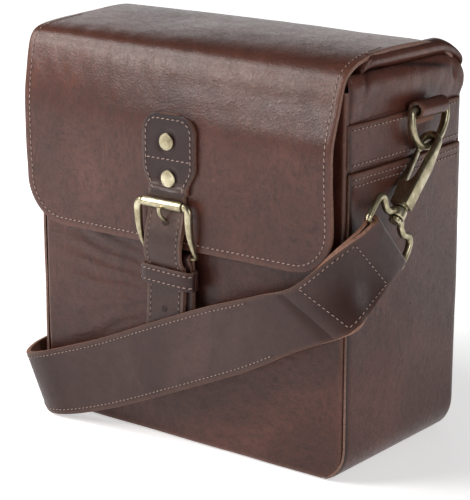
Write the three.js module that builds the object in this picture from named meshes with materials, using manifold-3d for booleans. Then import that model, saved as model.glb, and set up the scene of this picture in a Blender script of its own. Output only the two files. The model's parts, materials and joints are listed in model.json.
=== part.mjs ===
// A leather camera bag: a padded box with a full front flap, a buckled closure with a hidden
// magnetic snap, side pockets, D-rings, and a shoulder strap clipped on by two lever hooks.
// Millimetres. X runs to the right seen from the front, the front faces -Y, Z is up.
// The origin is the centre of the base.

import * as THREE from "three";
import { mergeVertices } from "three/addons/utils/BufferGeometryUtils.js";
import Module from "manifold-3d";

const wasm = await Module();
wasm.setup();

// ---------------------------------------------------------------- driving dimensions
const GAP = 0.3;              // play between neighbouring pieces
const WIDTH = 210;
const DEPTH = 110;
const WALL_TOP = 213;         // top edge of the front and side leather
const LEATHER = 3;
const CORNER = 17;            // radius of the bottom corners
const FOAM = 8;

const FLAP_LEFT = -107.6;     // the flap sits a little to the left of the body
const FLAP_RIGHT = 102.8;
const FLAP_THICK = 3.2;
const FLAP_BOTTOM = 114.5;
const FLAP_CORNER = 25;

const CLOSURE_X = -2;         // centre line of the buckle
const ROLLER = { y: -71.3, z: 140, radius: 2.5, bore: 1.75 };
const HEEL_BAR = { y: -64.2, z: 110.4 };
const WIRE = 1.5;             // radius of the buckle's wire

const RING_AXIS = { x: 112.7, y: 10, z: 194 };
const RING_PULL = 4;          // how far the hook draws the foot of a ring forward
const RING_WIRE = 1.9;
const RING_HALF = 16.85;      // centre line of a D-ring's leg, from its middle
const RING_DROP = 20.3;
const RING_LEAN = 6.5;        // degrees outward from the wall

const HUB = 43;               // from the ring's wire to the swivel of its hook
const LOOP_BAR = 19;          // from the swivel to the bar that the strap is folded over
const LOOP_HALF = 22.3;
const LOOP_WIRE = 1.8;

const STRAP = 40;             // width of the shoulder strap
const STRAP_THICK = 3.3;
const FOLD_THICK = 5.4;       // where the strap is doubled and stitched
const REST = 0.8;             // lowest edge of the strap, above the floor

const half = WIDTH / 2;
const front = -DEPTH / 2;
const back = DEPTH / 2;

// ---------------------------------------------------------------- materials
function finish(color, roughness, metalness = 0) {
  return new THREE.MeshStandardMaterial({ color, roughness, metalness });
}
const leather = finish(0x644641, 0.5);
const darkLeather = finish(0x4f3b38, 0.45);
const strapLeather = finish(0x67473f, 0.45);
const lining = finish(0x8d7a68, 0.95);
const boardGrey = finish(0x5a5550, 0.9);
const antiqueBrass = finish(0x9b9064, 0.35, 1);
const steel = finish(0xb8b8b4, 0.3, 1);

const bag = new THREE.Group();

function add(name, geometry, material) {
  geometry.computeVertexNormals();
  const mesh = new THREE.Mesh(geometry, material);
  mesh.name = name;
  bag.add(mesh);
  return mesh;
}

// ---------------------------------------------------------------- booleans
function solid(geometry) {
  const bare = geometry.clone();
  bare.deleteAttribute("normal");
  bare.deleteAttribute("uv");
  const merged = mergeVertices(bare, 1e-4);
  return new wasm.Manifold(new wasm.Mesh({
    numProp: 3,
    vertProperties: new Float32Array(merged.attributes.position.array),
    triVerts: new Uint32Array(merged.index.array),
  }));
}

function surface(manifold) {
  const { vertProperties, triVerts } = manifold.getMesh();
  const geometry = new THREE.BufferGeometry();
  geometry.setAttribute("position", new THREE.BufferAttribute(vertProperties, 3));
  geometry.setIndex(new THREE.BufferAttribute(triVerts, 1));
  return geometry;
}

function join(...pieces) {
  return surface(pieces.map(solid).reduce((whole, piece) => whole.add(piece)));
}

function cut(body, ...tools) {
  return surface(tools.map(solid).reduce((whole, tool) => whole.subtract(tool), solid(body)));
}

function common(a, b) {
  return surface(solid(a).intersect(solid(b)));
}

// ---------------------------------------------------------------- shapes
function block(x0, x1, y0, y1, z0, z1) {
  const box = new THREE.BoxGeometry(x1 - x0, y1 - y0, z1 - z0);
  return box.translate((x0 + x1) / 2, (y0 + y1) / 2, (z0 + z1) / 2);
}

const AXES = {
  x: new THREE.Matrix4().makeRotationZ(-Math.PI / 2),
  y: new THREE.Matrix4(),
  z: new THREE.Matrix4().makeRotationX(Math.PI / 2),
};

function rod(axis, radius, length, x, y, z, sides = 20) {
  const cylinder = new THREE.CylinderGeometry(radius, radius, length, sides);
  return cylinder.applyMatrix4(AXES[axis]).translate(x, y, z);
}

function outline(points) {
  return new THREE.Shape(points.map(([a, b]) => new THREE.Vector2(a, b)));
}

// A flat outline in (x, z), given thickness between two depths.
function panelXZ(shape, y0, y1, curveSegments = 8) {
  const slab = new THREE.ExtrudeGeometry(shape, { depth: y1 - y0, bevelEnabled: false, curveSegments });
  return slab.rotateX(Math.PI / 2).translate(0, y1, 0);
}

// A profile in (y, z), drawn out between two widths.
function runX(points, x0, x1) {
  const bar = new THREE.ExtrudeGeometry(outline(points), { depth: x1 - x0, bevelEnabled: false });
  const basis = new THREE.Matrix4().makeBasis(
    new THREE.Vector3(0, 1, 0), new THREE.Vector3(0, 0, 1), new THREE.Vector3(1, 0, 0));
  return bar.applyMatrix4(basis).translate(x0, 0, 0);
}

// The closed outline of a skin that follows a smooth curve, thickened to one side of it.
function skin(points, thickness, steps) {
  const curve = new THREE.SplineCurve(points.map(([a, b]) => new THREE.Vector2(a, b)));
  const outer = curve.getSpacedPoints(steps);
  const inner = outer.map((point, i) => {
    const along = curve.getTangentAt(i / steps);
    return new THREE.Vector2(point.x + along.y * thickness, point.y - along.x * thickness);
  });
  return [...outer, ...inner.reverse()].map((p) => [p.x, p.y]);
}

// A closed wire: rings of points around a closed path, each ring square to the path.
function wireLoop(path, radius, reference, sides = 10) {
  const positions = [];
  const faces = [];
  const count = path.length;
  path.forEach((point, i) => {
    const before = path[(i + count - 1) % count];
    const after = path[(i + 1) % count];
    const along = after.clone().sub(before).normalize();
    const u = reference.clone().addScaledVector(along, -reference.dot(along)).normalize();
    const v = along.clone().cross(u);
    for (let k = 0; k < sides; k += 1) {
      const turn = (2 * Math.PI * k) / sides;
      const place = point.clone()
        .addScaledVector(u, radius * Math.cos(turn))
        .addScaledVector(v, radius * Math.sin(turn));
      positions.push(place.x, place.y, place.z);
      const a = i * sides + k;
      const b = i * sides + ((k + 1) % sides);
      const c = ((i + 1) % count) * sides + k;
      const d = ((i + 1) % count) * sides + ((k + 1) % sides);
      faces.push(a, b, c, b, d, c);
    }
  });
  const geometry = new THREE.BufferGeometry();
  geometry.setAttribute("position", new THREE.Float32BufferAttribute(positions, 3));
  geometry.setIndex(faces);
  return geometry;
}

// A path through corner points, each corner rounded by a small arc.
function roundedPath(corners, radius, steps = 4) {
  const path = [];
  const count = corners.length;
  corners.forEach((corner, i) => {
    const before = corners[(i + count - 1) % count].clone().sub(corner);
    const after = corners[(i + 1) % count].clone().sub(corner);
    const reach = Math.min(radius, before.length() / 2.2, after.length() / 2.2);
    const start = corner.clone().addScaledVector(before.normalize(), reach);
    const end = corner.clone().addScaledVector(after.normalize(), reach);
    const bend = new THREE.QuadraticBezierCurve3(start, corner, end);
    path.push(...bend.getPoints(steps));
  });
  return path;
}

// A flat strap as a ruled band. Each station gives its two edges and its thickness.
function band(stations, perSpan) {
  const upper = new THREE.CatmullRomCurve3(stations.map((s) => s.top));
  const lower = new THREE.CatmullRomCurve3(stations.map((s) => s.bottom));
  const spans = stations.length - 1;
  const steps = spans * perSpan;
  const positions = [];
  const faces = [];
  for (let i = 0; i <= steps; i += 1) {
    const t = i / steps;
    const top = upper.getPoint(t);
    const bottom = lower.getPoint(t);
    const along = upper.getTangent(t).add(lower.getTangent(t)).normalize();
    const across = top.clone().sub(bottom);
    const proud = along.cross(across).normalize();
    const k = Math.min(Math.floor(t * spans), spans - 1);
    const mix = t * spans - k;
    const thickness = stations[k].thickness * (1 - mix) + stations[k + 1].thickness * mix;
    for (const [edge, side] of [[top, 1], [top, -1], [bottom, -1], [bottom, 1]]) {
      const corner = edge.clone().addScaledVector(proud, (side * thickness) / 2);
      positions.push(corner.x, corner.y, corner.z);
    }
    if (i > 0) {
      const a = (i - 1) * 4;
      const b = i * 4;
      for (let side = 0; side < 4; side += 1) {
        const next = (side + 1) % 4;
        faces.push(a + side, b + side, a + next, b + side, b + next, a + next);
      }
    }
  }
  const last = steps * 4;
  faces.push(0, 1, 2, 0, 2, 3, last, last + 2, last + 1, last, last + 3, last + 2);
  const geometry = new THREE.BufferGeometry();
  geometry.setAttribute("position", new THREE.Float32BufferAttribute(positions, 3));
  geometry.setIndex(faces);
  return geometry;
}

// ---------------------------------------------------------------- body
function roundBottomed(x0, x1, z0, z1, radius) {
  const shape = new THREE.Shape();
  shape.moveTo(x0, z1);
  shape.lineTo(x0, z0 + radius);
  shape.absarc(x0 + radius, z0 + radius, radius, Math.PI, 1.5 * Math.PI, false);
  shape.lineTo(x1 - radius, z0);
  shape.absarc(x1 - radius, z0 + radius, radius, 1.5 * Math.PI, 2 * Math.PI, false);
  shape.lineTo(x1, z1);
  return shape;
}

function buildBody() {
  const backTop = 200.5;        // the back wall ends where the flap's leather bends over
  add("front_panel",
    panelXZ(roundBottomed(-half, half, 0, WALL_TOP, CORNER), front, front + LEATHER), leather);
  add("back_panel",
    panelXZ(roundBottomed(-half, half, 0, backTop, CORNER), back - LEATHER, back), leather);

  const y0 = front + LEATHER + GAP;
  const y1 = back - LEATHER - GAP;
  const outside = panelXZ(roundBottomed(-half, half, 0, WALL_TOP, CORNER), y0, y1);
  const inside = panelXZ(
    roundBottomed(-half + LEATHER, half - LEATHER, LEATHER, WALL_TOP + 5, CORNER - LEATHER), y0 - 5, y1 + 5);
  const rearSlope = runX([[36, WALL_TOP + 1], [60, 189], [60, WALL_TOP + 1]], -half - 5, half + 5);
  add("gusset", cut(outside, inside, rearSlope), leather);
}

function buildPadding() {
  const inner = half - LEATHER - GAP;
  const start = CORNER + GAP;     // the wall pads stand above the rounded corners
  const wallY = front + LEATHER + GAP;
  add("base_board", block(-90, 90, wallY, -wallY, LEATHER + GAP, LEATHER + GAP + 2), boardGrey);
  add("pad_base", block(-95, 95, wallY, -wallY, 5.6, 5.6 + FOAM), lining);
  add("pad_front", block(-inner, inner, wallY, wallY + FOAM, start, 204), lining);
  add("pad_back", block(-inner, inner, -wallY - FOAM, -wallY, start, 197), lining);
  const sideY = -wallY - FOAM - GAP;
  for (const [name, side] of [["left", -1], ["right", 1]]) {
    const far = side * inner;
    const near = side * (inner - FOAM);
    add(`pad_${name}`, block(Math.min(far, near), Math.max(far, near), -sideY, sideY, start, 204), lining);
  }
  add("divider_pad", block(-3.5, 3.5, -sideY, sideY, start, 180), lining);
}

function buildSides() {
  const wall = half + GAP;
  for (const [name, side] of [["left", -1], ["right", 1]]) {
    const flip = (x0, x1) => (side > 0 ? [x0, x1] : [-x1, -x0]);
    add(`side_band_${name}`, block(...flip(wall, wall + 2.2), front + 1, back - 1, 170, 193), leather);
    add(`side_pocket_${name}`, block(...flip(wall, wall + 3), front + 1, back - 1, CORNER, 168), leather);

    const { x, y, z } = RING_AXIS;
    const tongue = block(...flip(wall + 2.2 + GAP, wall + 4.4), y - 11, y + 11, z - 13, z);
    const roll = rod("y", 4.8, 26.2, side * x, y, z);
    const bore = rod("y", RING_WIRE + GAP, 40, side * x, y, z);
    add(`ring_chape_${name}`, cut(join(tongue, roll), bore), darkLeather);
  }
}

// ---------------------------------------------------------------- flap and ears
const LID_CROWN = [
  [-59.2, 213], [-56.6, 219], [-49, 224], [-33, 227.2], [-13, 228.6], [14, 228.2],
  [30, 226.2], [42, 221.5], [51, 213.5], [55.1, 203.3],
];
const FLAP_FACE = [
  [-64.3, FLAP_BOTTOM], [-64.8, 140], [-65.2, 160], [-65, 178], [-63.9, 190], [-61.9, 202], [-59.4, 212.3],
];
const RIVETS = [["upper", 0, 174], ["lower", 1, 154]];

function buildFlap() {
  add("flap_top", runX(skin(LID_CROWN, FLAP_THICK, 20), FLAP_LEFT, FLAP_RIGHT), leather);
  const hanging = runX(skin(FLAP_FACE, FLAP_THICK, 10), FLAP_LEFT, FLAP_RIGHT);
  const edge = panelXZ(
    roundBottomed(FLAP_LEFT - 1, FLAP_RIGHT + 1, FLAP_BOTTOM, WALL_TOP + 2, FLAP_CORNER), -80, -40);
  const holes = RIVETS.map(([, x, z]) => rod("y", 1.6, 30, x, -62, z, 12));
  add("flap_front", cut(common(hanging, edge), ...holes), leather);
}

// The gusset's leather goes on above the side wall and is folded in under the flap.
function buildEars() {
  const roll = { radius: 4.5, x: 100.4, z: 217.9, front: -37, back: 30 };
  for (const [name, side] of [["left", -1], ["right", 1]]) {
    const length = roll.back - roll.front;
    const bolster = rod("y", roll.radius, length, side * roll.x, (roll.front + roll.back) / 2, roll.z, 16);
    const depthAt = (y) => 0.5 * (50 - y);
    const fold = new THREE.Shape([
      new THREE.Vector2(side * roll.x, roll.front), new THREE.Vector2(side * roll.x, roll.back),
      new THREE.Vector2(side * (roll.x - depthAt(roll.back)), roll.back),
      new THREE.Vector2(side * (roll.x - depthAt(roll.front)), roll.front),
    ]);
    const sheet = new THREE.ExtrudeGeometry(fold, { depth: 2.4, bevelEnabled: false });
    sheet.translate(0, 0, roll.z - 1.6);
    add(`ear_${name}`, join(bolster, sheet), leather);
  }
}

// ---------------------------------------------------------------- closure
function lathe(profile, sides = 20) {
  return new THREE.LatheGeometry(profile.map(([r, h]) => new THREE.Vector2(r, h)), sides);
}

function buildTab() {
  const [outer, inner] = [-69.3, -65.5];
  const shape = new THREE.Shape();
  shape.moveTo(-14, 147.4);
  shape.lineTo(12, 147.4);
  shape.lineTo(18, 158);
  shape.lineTo(18, 178.5);
  shape.absarc(7.5, 178.5, 10.5, 0, Math.PI / 2, false);
  shape.absarc(-7.5, 178.5, 10.5, Math.PI / 2, Math.PI, false);
  shape.lineTo(-18, 158);
  const holes = RIVETS.map(([, x, z]) => rod("y", 1.6, 30, x, -66, z, 12));
  add("buckle_tab", cut(panelXZ(shape, outer, inner), ...holes), darkLeather);

  // Each rivet: a domed cap, a shank through tab and flap, and a burr inside.
  for (const [name, x, z] of RIVETS) {
    const innerFace = z > 165 ? -61.4 : -61.8;
    const cap = -(outer - GAP);
    const burr = -innerFace - GAP;
    const rivet = lathe([
      [0, burr - 1.2], [3.6, burr - 1.2], [3.6, burr], [1.3, burr], [1.3, cap],
      [4.5, cap], [4.2, cap + 0.9], [2.6, cap + 1.6], [0, cap + 1.8],
    ]);
    add(`rivet_${name}`, rivet.rotateX(Math.PI).translate(x, 0, z), antiqueBrass);
  }
}

// Centre of the billet at a height: it hangs a little askew.
const billetX = (z) => CLOSURE_X - 0.062 * (ROLLER.z - z);
const BILLET_FACE = [
  [-66.2, 60], [-66.2, 76], [-66.3, 97], [-67.2, 103.5], [-70, 108.5], [-71, 113], [-70.8, 121],
  [-68.9, 131], [-68.5, 140], [-69, 146.1],
];

function buildClosure() {
  const top = BILLET_FACE.at(-1)[1];
  const strip = runX(skin(BILLET_FACE, 2.5, 24), -40, 40);
  const halfWidth = 12.6;
  const shape = new THREE.Shape();
  shape.moveTo(billetX(top) - halfWidth, top + 1);
  shape.lineTo(billetX(70) - halfWidth, 70);
  shape.quadraticCurveTo(billetX(60) - halfWidth, 60, billetX(60), 60);
  shape.quadraticCurveTo(billetX(60) + halfWidth, 60, billetX(70) + halfWidth, 70);
  shape.lineTo(billetX(top) + halfWidth, top + 1);
  // The prong has drawn the uppermost hole out to an oblong.
  const holes = [[CLOSURE_X, 128.4], [CLOSURE_X, 125.2], [CLOSURE_X, 122.2], [billetX(104), 104], [billetX(79.6), 79.6]]
    .map(([x, z]) => rod("y", 2.5, 30, x, -67, z, 12));
  add("billet", cut(common(strip, panelXZ(shape, -80, -55)), ...holes), darkLeather);

  // The chape: leather folded round the heel bar, slotted for the prong, with the snap below.
  const eye = rod("x", 3.3, 28, CLOSURE_X, HEEL_BAR.y, HEEL_BAR.z);
  const bore = rod("x", WIRE + GAP, 60, CLOSURE_X, HEEL_BAR.y, HEEL_BAR.z);
  const tongue = block(CLOSURE_X - 14, CLOSURE_X + 14, -63.1, -60.5, 66, HEEL_BAR.z - 1);
  const slot = block(CLOSURE_X - 2.4, CLOSURE_X + 2.4, -72, -58, 105.5, 120);
  add("chape", cut(join(eye, tongue), bore, slot), darkLeather);

  const keeperOuter = block(-19.5, 17.6, -69.4, -58.4, 93, 103);
  const keeperHole = block(-17.7, 15.8, -67.8, -60.2, 90, 106);
  add("keeper", cut(keeperOuter, keeperHole), darkLeather);

  const corner = (side, place) => new THREE.Vector3(CLOSURE_X + side * 17.6, place.y, place.z);
  const bow = { y: -70, z: 124 };
  const frame = roundedPath([
    corner(-1, ROLLER), corner(1, ROLLER), corner(1, bow), corner(1, HEEL_BAR),
    corner(-1, HEEL_BAR), corner(-1, bow),
  ], 3.5);
  add("buckle_frame", wireLoop(frame, WIRE, new THREE.Vector3(0.1, 1, 0.35).normalize()), antiqueBrass);

  const roller = rod("x", ROLLER.radius, 27, CLOSURE_X, ROLLER.y, ROLLER.z);
  add("roller", cut(roller, rod("x", ROLLER.bore, 40, CLOSURE_X, ROLLER.y, ROLLER.z)), antiqueBrass);

  // The prong turns on the heel bar, comes through the billet's hole and lies on the roller.
  const route = new THREE.CatmullRomCurve3([
    [-66.1, 112.6], [-66.5, 117], [-66.7, 122.6], [-67.6, 125.9], [-70.3, 128.2], [-73.2, 131.6],
    [-75.6, 137], [-75.9, 142.5],
  ].map(([y, z]) => new THREE.Vector3(CLOSURE_X, y, z)));
  const round = new THREE.Shape().absarc(0, 0, 1.25, 0, 2 * Math.PI, false);
  const pin = new THREE.ExtrudeGeometry(
    round, { steps: 18, curveSegments: 5, bevelEnabled: false, extrudePath: route });
  const curl = rod("x", 3.2, 3.6, CLOSURE_X, HEEL_BAR.y, HEEL_BAR.z);
  add("prong", cut(join(pin, curl), bore), antiqueBrass);

  // The two halves of the magnetic snap, on the chape and on the front wall.
  const snap = { x: -3, z: 81, radius: 9 };
  const disc = (y0, y1) => rod("y", snap.radius, y1 - y0, snap.x, (y0 + y1) / 2, snap.z, 28);
  add("snap_cap", disc(-60.2, -57.7), steel);
  add("snap_stud", disc(-57.4, front - GAP), steel);
}

// ---------------------------------------------------------------- rings and hooks
function buildRing(name, side) {
  const { x, y, z } = RING_AXIS;
  const lean = THREE.MathUtils.degToRad(RING_LEAN);
  const place = (along, drop) => new THREE.Vector3(
    side * (x + drop * Math.sin(lean)), y + along - RING_PULL * (drop / RING_DROP), z - drop * Math.cos(lean));
  const path = [place(-RING_HALF, 0), place(-RING_HALF / 2, 0), place(0, 0), place(RING_HALF / 2, 0)];
  const shoulder = 4;
  const bowl = 16;
  for (let i = 0; i <= bowl; i += 1) {
    const turn = (Math.PI * i) / bowl;
    path.push(place(RING_HALF * Math.cos(turn), shoulder + (RING_DROP - shoulder) * Math.sin(turn)));
  }
  path.splice(4, 0, place(RING_HALF - 0.6, 0.3));
  path.push(place(-RING_HALF + 0.6, 0.3));
  path.shift();
  add(`d_ring_${name}`, wireLoop(path, RING_WIRE, new THREE.Vector3(side, 0, 0)), antiqueBrass);
}

// Where a hook hangs: its frame has b towards the ring, a outward and c across.
function hookFrame(side, reach) {
  const lean = THREE.MathUtils.degToRad(RING_LEAN);
  const eye = new THREE.Vector3(
    side * (RING_AXIS.x + RING_DROP * Math.sin(lean)), RING_AXIS.y - RING_PULL, RING_AXIS.z - RING_DROP * Math.cos(lean));
  const b = reach.clone().normalize();
  const a = new THREE.Vector3(side, 0, 0).addScaledVector(b, -side * b.x).normalize();
  const c = b.clone().cross(a);
  const hub = eye.clone().addScaledVector(b, -HUB);
  const matrix = new THREE.Matrix4().makeBasis(a, c, b).setPosition(hub);
  return { eye, hub, a, b, c, matrix };
}

// The hook and its fittings are drawn round the swivel: x outward, z towards the ring.
function hookProfile() {
  const crown = HUB + 2.7;
  const shape = new THREE.Shape();
  shape.moveTo(3.6, 20);
  shape.lineTo(6.4, HUB - 10);
  shape.absarc(0, crown, 6.4, 0, Math.PI, false);
  shape.lineTo(-6.4, HUB - 3);
  shape.lineTo(-3.6, HUB - 3);
  shape.absarc(0, crown, 3.4, Math.PI, 0, true);
  shape.lineTo(2.6, 20);
  return shape;
}

function buildHook(name, frame) {
  const gatePin = { x: -3, z: 12.5 };
  const across = (shape, width, curveSegments = 7) => panelXZ(shape, -width / 2, width / 2, curveSegments);
  const pinHole = rod("y", 1.3, 20, gatePin.x, 0, gatePin.z, 12);
  const slot = block(-8, 0.6, -1.8, 1.8, 6.5, 20);
  const shank = outline([[-5.4, 4], [4.6, 4], [6.2, HUB - 9], [2.9, HUB - 9], [2.4, 18], [-5.4, 17]]);
  const body = cut(join(across(hookProfile(), 3.4), across(shank, 7.6)), slot, pinHole);
  add(`hook_${name}`, body.applyMatrix4(frame.matrix), antiqueBrass);

  const gateShape = outline([
    [-4.6, 9.5], [-0.6, 9.5], [-1.6, 16], [-3.4, 20], [-3.7, HUB - 3.5], [-5.4, HUB - 3.5], [-6.2, 24], [-7.3, 20],
  ]);
  const gate = cut(across(gateShape, 2.8), pinHole);
  add(`gate_${name}`, gate.applyMatrix4(frame.matrix), antiqueBrass);
  add(`gate_pin_${name}`,
    rod("y", 1, 7.6, gatePin.x, 0, gatePin.z, 12).applyMatrix4(frame.matrix), antiqueBrass);

  // The swivel pin is headed below the loop's hub and runs up into the hook's foot.
  const swivel = lathe([
    [0, -5.6], [3.3, -5.6], [3.3, -3.6], [1.9, -3.6], [1.9, 3.7], [0, 3.7],
  ], 16).rotateX(Math.PI / 2);
  add(`swivel_pin_${name}`, swivel.applyMatrix4(frame.matrix), antiqueBrass);

  const wire = [
    [-LOOP_HALF, -LOOP_BAR], [LOOP_HALF, -LOOP_BAR], [LOOP_HALF, -8], [19.6, -2.6], [11, -5.2],
    [5.5, -1.4], [0, -0.4], [-5.5, -1.4], [-11, -5.2], [-19.6, -2.6], [-LOOP_HALF, -8],
  ].map(([c, b]) => new THREE.Vector3(0, c, b));
  const loop = wireLoop(roundedPath(wire, 2.6, 2), LOOP_WIRE, new THREE.Vector3(1, 0, 0), 8);
  const hub = rod("z", 4.2, 5, 0, 0, -0.6, 16);
  const eyelet = rod("z", 2.3, 20, 0, 0, 0, 16);
  add(`swivel_loop_${name}`, cut(join(loop, hub), eyelet).applyMatrix4(frame.matrix), antiqueBrass);
}

// ---------------------------------------------------------------- shoulder strap
const at = (x, y, z) => new THREE.Vector3(x, y, z);

function station(top, bottom, thickness = STRAP_THICK) {
  return { top: at(...top), bottom: at(...bottom), thickness };
}

const upright = (x, y, thickness) => station([x, y, REST + STRAP], [x, y, REST], thickness);

// The doubled end that is folded over a loop's bar.
function strapEye(frame) {
  const bar = frame.hub.clone().addScaledVector(frame.b, -LOOP_BAR);
  const turned = (geometry) => {
    const basis = new THREE.Matrix4().makeBasis(frame.a, frame.c, frame.a.clone().cross(frame.c));
    return geometry.applyMatrix4(basis.setPosition(bar));
  };
  return {
    bar,
    roll: turned(rod("y", 4.6, STRAP - 1, 0, 0, 0, 16)),
    bore: turned(rod("y", LOOP_WIRE + GAP, STRAP + 20, 0, 0, 0, 16)),
    edge: (share) => bar.clone().addScaledVector(frame.c, share * (STRAP / 2 - 0.5)),
  };
}

// The long piece: from the right hook across the front, low round the left side and the back,
// then round a turn and up to the length buckle.
function buildLongStrap(frame) {
  const eye = strapEye(frame);
  const start = (share) => eye.edge(share).addScaledVector(frame.b, -3.2).toArray();
  const turn = { x: 64, y: 75, radius: 13 };
  const around = (degrees) => {
    const angle = THREE.MathUtils.degToRad(degrees);
    return upright(turn.x + turn.radius * Math.cos(angle), turn.y + turn.radius * Math.sin(angle));
  };
  const stations = [
    station(start(-1), start(1), FOLD_THICK),
    station([105.5, -67, 129], [121.5, -50, 103.5], FOLD_THICK),
    station([85, -70.6, 109.5], [120, -67.5, 91], FOLD_THICK),
    station([62, -70, 100.5], [89, -72, 76]),
    station([41, -69.5, 92.8], [59, -71, 59.5]),
    station([21, -69, 85.3], [36.5, -69.8, 48.7]),
    station([-15, -69, 70], [0, -69.6, 32.5]),
    station([-52, -69, 53.7], [-37, -69.6, 16.6]),
    station([-80, -69.5, 43.2], [-66, -70.2, 6.2]),
    station([-99, -70, 36.6], [-85, -70.5, REST + 1]),
    station([-112, -65.5, 33.2], [-98, -64, REST]),
    station([-116.5, -52, 35.2], [-107.6, -52, REST]),
    station([-113.5, -30, 38.6], [-109.5, -32, REST]),
    upright(-111.8, 0), upright(-112, 36), upright(-111.8, 50), upright(-105, 60.5), upright(-92, 63),
    upright(-20, 62), upright(40, 61.7),
    around(-90), around(-45), around(0), around(45),
    station([62, 88.2, 42.5], [60, 88.2, 2.6]),
    station([44, 85, 50.5], [34, 85, 11.8]),
    station([16, 76.5, 59], [4, 76.5, 21]),
    station([-6, 72.4, 67.4], [-19, 72.4, 29.6]),
    station([-22, 75.2, 73.6], [-36, 75.2, 36.2]),
    station([-36, 73.6, 80.2], [-50, 73.6, 42.8]),
    station([-64, 73.4, 92.6], [-79, 73.4, 55.6]),
  ];
  add("strap_long", cut(join(band(stations, 3), eye.roll), eye.bore), strapLeather);
}

// The short piece: from the left hook round the back corner to the length buckle.
function buildShortStrap(frame) {
  const eye = strapEye(frame);
  const start = (share) => eye.edge(share).addScaledVector(frame.b, -3.2).toArray();
  const stations = [
    station(start(1), start(-1), FOLD_THICK),
    station([-109, 66.5, 120.5], [-120.5, 50, 94], FOLD_THICK),
    station([-91, 70.2, 105], [-119, 66, 80], FOLD_THICK),
    station([-64, 69.2, 92.6], [-79, 69.6, 55.6]),
    station([-36, 69.2, 80.2], [-50, 69.4, 42.8]),
    station([-27, 69.2, 76.1], [-41, 69.2, 38.7]),
  ];
  add("strap_short", cut(join(band(stations, 3), eye.roll), eye.bore), strapLeather);
}

const frames = {
  left: hookFrame(-1, new THREE.Vector3(0.065, -0.61, 0.79)),
  right: hookFrame(1, new THREE.Vector3(-0.065, 0.73, 0.681)),
};

buildBody();
buildPadding();
buildSides();
buildFlap();
buildEars();
buildTab();
buildClosure();
for (const [name, side] of [["left", -1], ["right", 1]]) {
  buildRing(name, side);
  buildHook(name, frames[name]);
}
buildLongStrap(frames.right);
buildShortStrap(frames.left);

export default bag;
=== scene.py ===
"""Looks of the leather camera bag: leathers, stitching, antique brass, lining and studio.

Metres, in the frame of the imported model: X to the right, the front faces -Y, Z up.
Most places are read from the frame; shapes of single pieces are given in millimetres.
"""

import json
import math

import bpy
import numpy as np
from mathutils import Matrix, Vector, noise

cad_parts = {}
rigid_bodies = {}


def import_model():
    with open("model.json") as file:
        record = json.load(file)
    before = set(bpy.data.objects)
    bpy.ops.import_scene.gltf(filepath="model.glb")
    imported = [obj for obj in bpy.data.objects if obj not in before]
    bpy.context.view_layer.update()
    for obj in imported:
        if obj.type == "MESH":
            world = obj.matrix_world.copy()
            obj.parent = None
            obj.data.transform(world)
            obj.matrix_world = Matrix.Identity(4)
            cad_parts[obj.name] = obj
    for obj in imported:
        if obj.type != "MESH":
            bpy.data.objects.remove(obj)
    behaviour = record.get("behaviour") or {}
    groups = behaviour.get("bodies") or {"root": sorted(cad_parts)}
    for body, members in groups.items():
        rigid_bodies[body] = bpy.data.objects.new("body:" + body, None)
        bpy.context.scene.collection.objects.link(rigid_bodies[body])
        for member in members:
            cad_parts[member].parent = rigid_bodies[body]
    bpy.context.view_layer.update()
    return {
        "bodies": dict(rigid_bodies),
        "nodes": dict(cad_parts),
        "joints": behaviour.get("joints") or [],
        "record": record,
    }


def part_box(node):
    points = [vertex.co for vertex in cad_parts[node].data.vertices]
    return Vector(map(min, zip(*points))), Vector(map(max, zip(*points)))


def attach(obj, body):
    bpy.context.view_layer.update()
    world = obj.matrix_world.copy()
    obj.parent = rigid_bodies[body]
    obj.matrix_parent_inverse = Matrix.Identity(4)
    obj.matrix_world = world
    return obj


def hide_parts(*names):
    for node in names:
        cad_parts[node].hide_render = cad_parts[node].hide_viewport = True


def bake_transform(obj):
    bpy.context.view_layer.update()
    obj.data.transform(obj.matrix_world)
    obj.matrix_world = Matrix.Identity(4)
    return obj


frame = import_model()
MM = 0.001

# ------------------------------------------------------------------ places from the frame
front_low, front_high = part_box("front_panel")
flap_low, flap_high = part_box("flap_front")
HALF = front_high.x / MM
FRONT = front_low.y / MM
BACK = -FRONT
WALL_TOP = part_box("gusset")[1].z / MM
FLAP_LEFT = flap_low.x / MM
FLAP_RIGHT = flap_high.x / MM + 1.4            # the hide spreads a little past the solid
BAND_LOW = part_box("side_band_right")[0].z / MM
BAND_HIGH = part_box("side_band_right")[1].z / MM
POCKET_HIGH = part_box("side_pocket_right")[1].z / MM
CORNER = 17.0                                  # radius of the body's lower corners
FLAP_CORNER = 25.0
DEPTH = 103.0                                  # of the side wall, between its seams
WIDE = 210.0                                   # of the body
STRAP = 40.0


def joint(name):
    """The place and the axis of one of the frame's joints, in millimetres."""
    found = next(j for j in frame["joints"] if j["name"] == name)
    return Vector(found["pos_m"]) / MM, Vector(found["axis"]).normalized()


# ------------------------------------------------------------------ camera and studio
CAMERA_PLACE = (0.6172, -0.8006, 0.3761)
CAMERA_TURN = math.radians(38.02)      # round the bag, from straight in front
CAMERA_DROP = math.radians(15.31)      # looking down


def add_camera():
    back = Vector((
        math.sin(CAMERA_TURN) * math.cos(CAMERA_DROP),
        -math.cos(CAMERA_TURN) * math.cos(CAMERA_DROP),
        math.sin(CAMERA_DROP),
    ))
    turn = (-back).to_track_quat("-Z", "Y").to_euler()
    bpy.ops.object.camera_add(location=CAMERA_PLACE, rotation=turn)
    camera = bpy.context.object
    camera.data.sensor_width = 36
    camera.data.lens = 132.4
    camera.data.clip_end = 20
    bpy.context.scene.camera = camera


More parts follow.
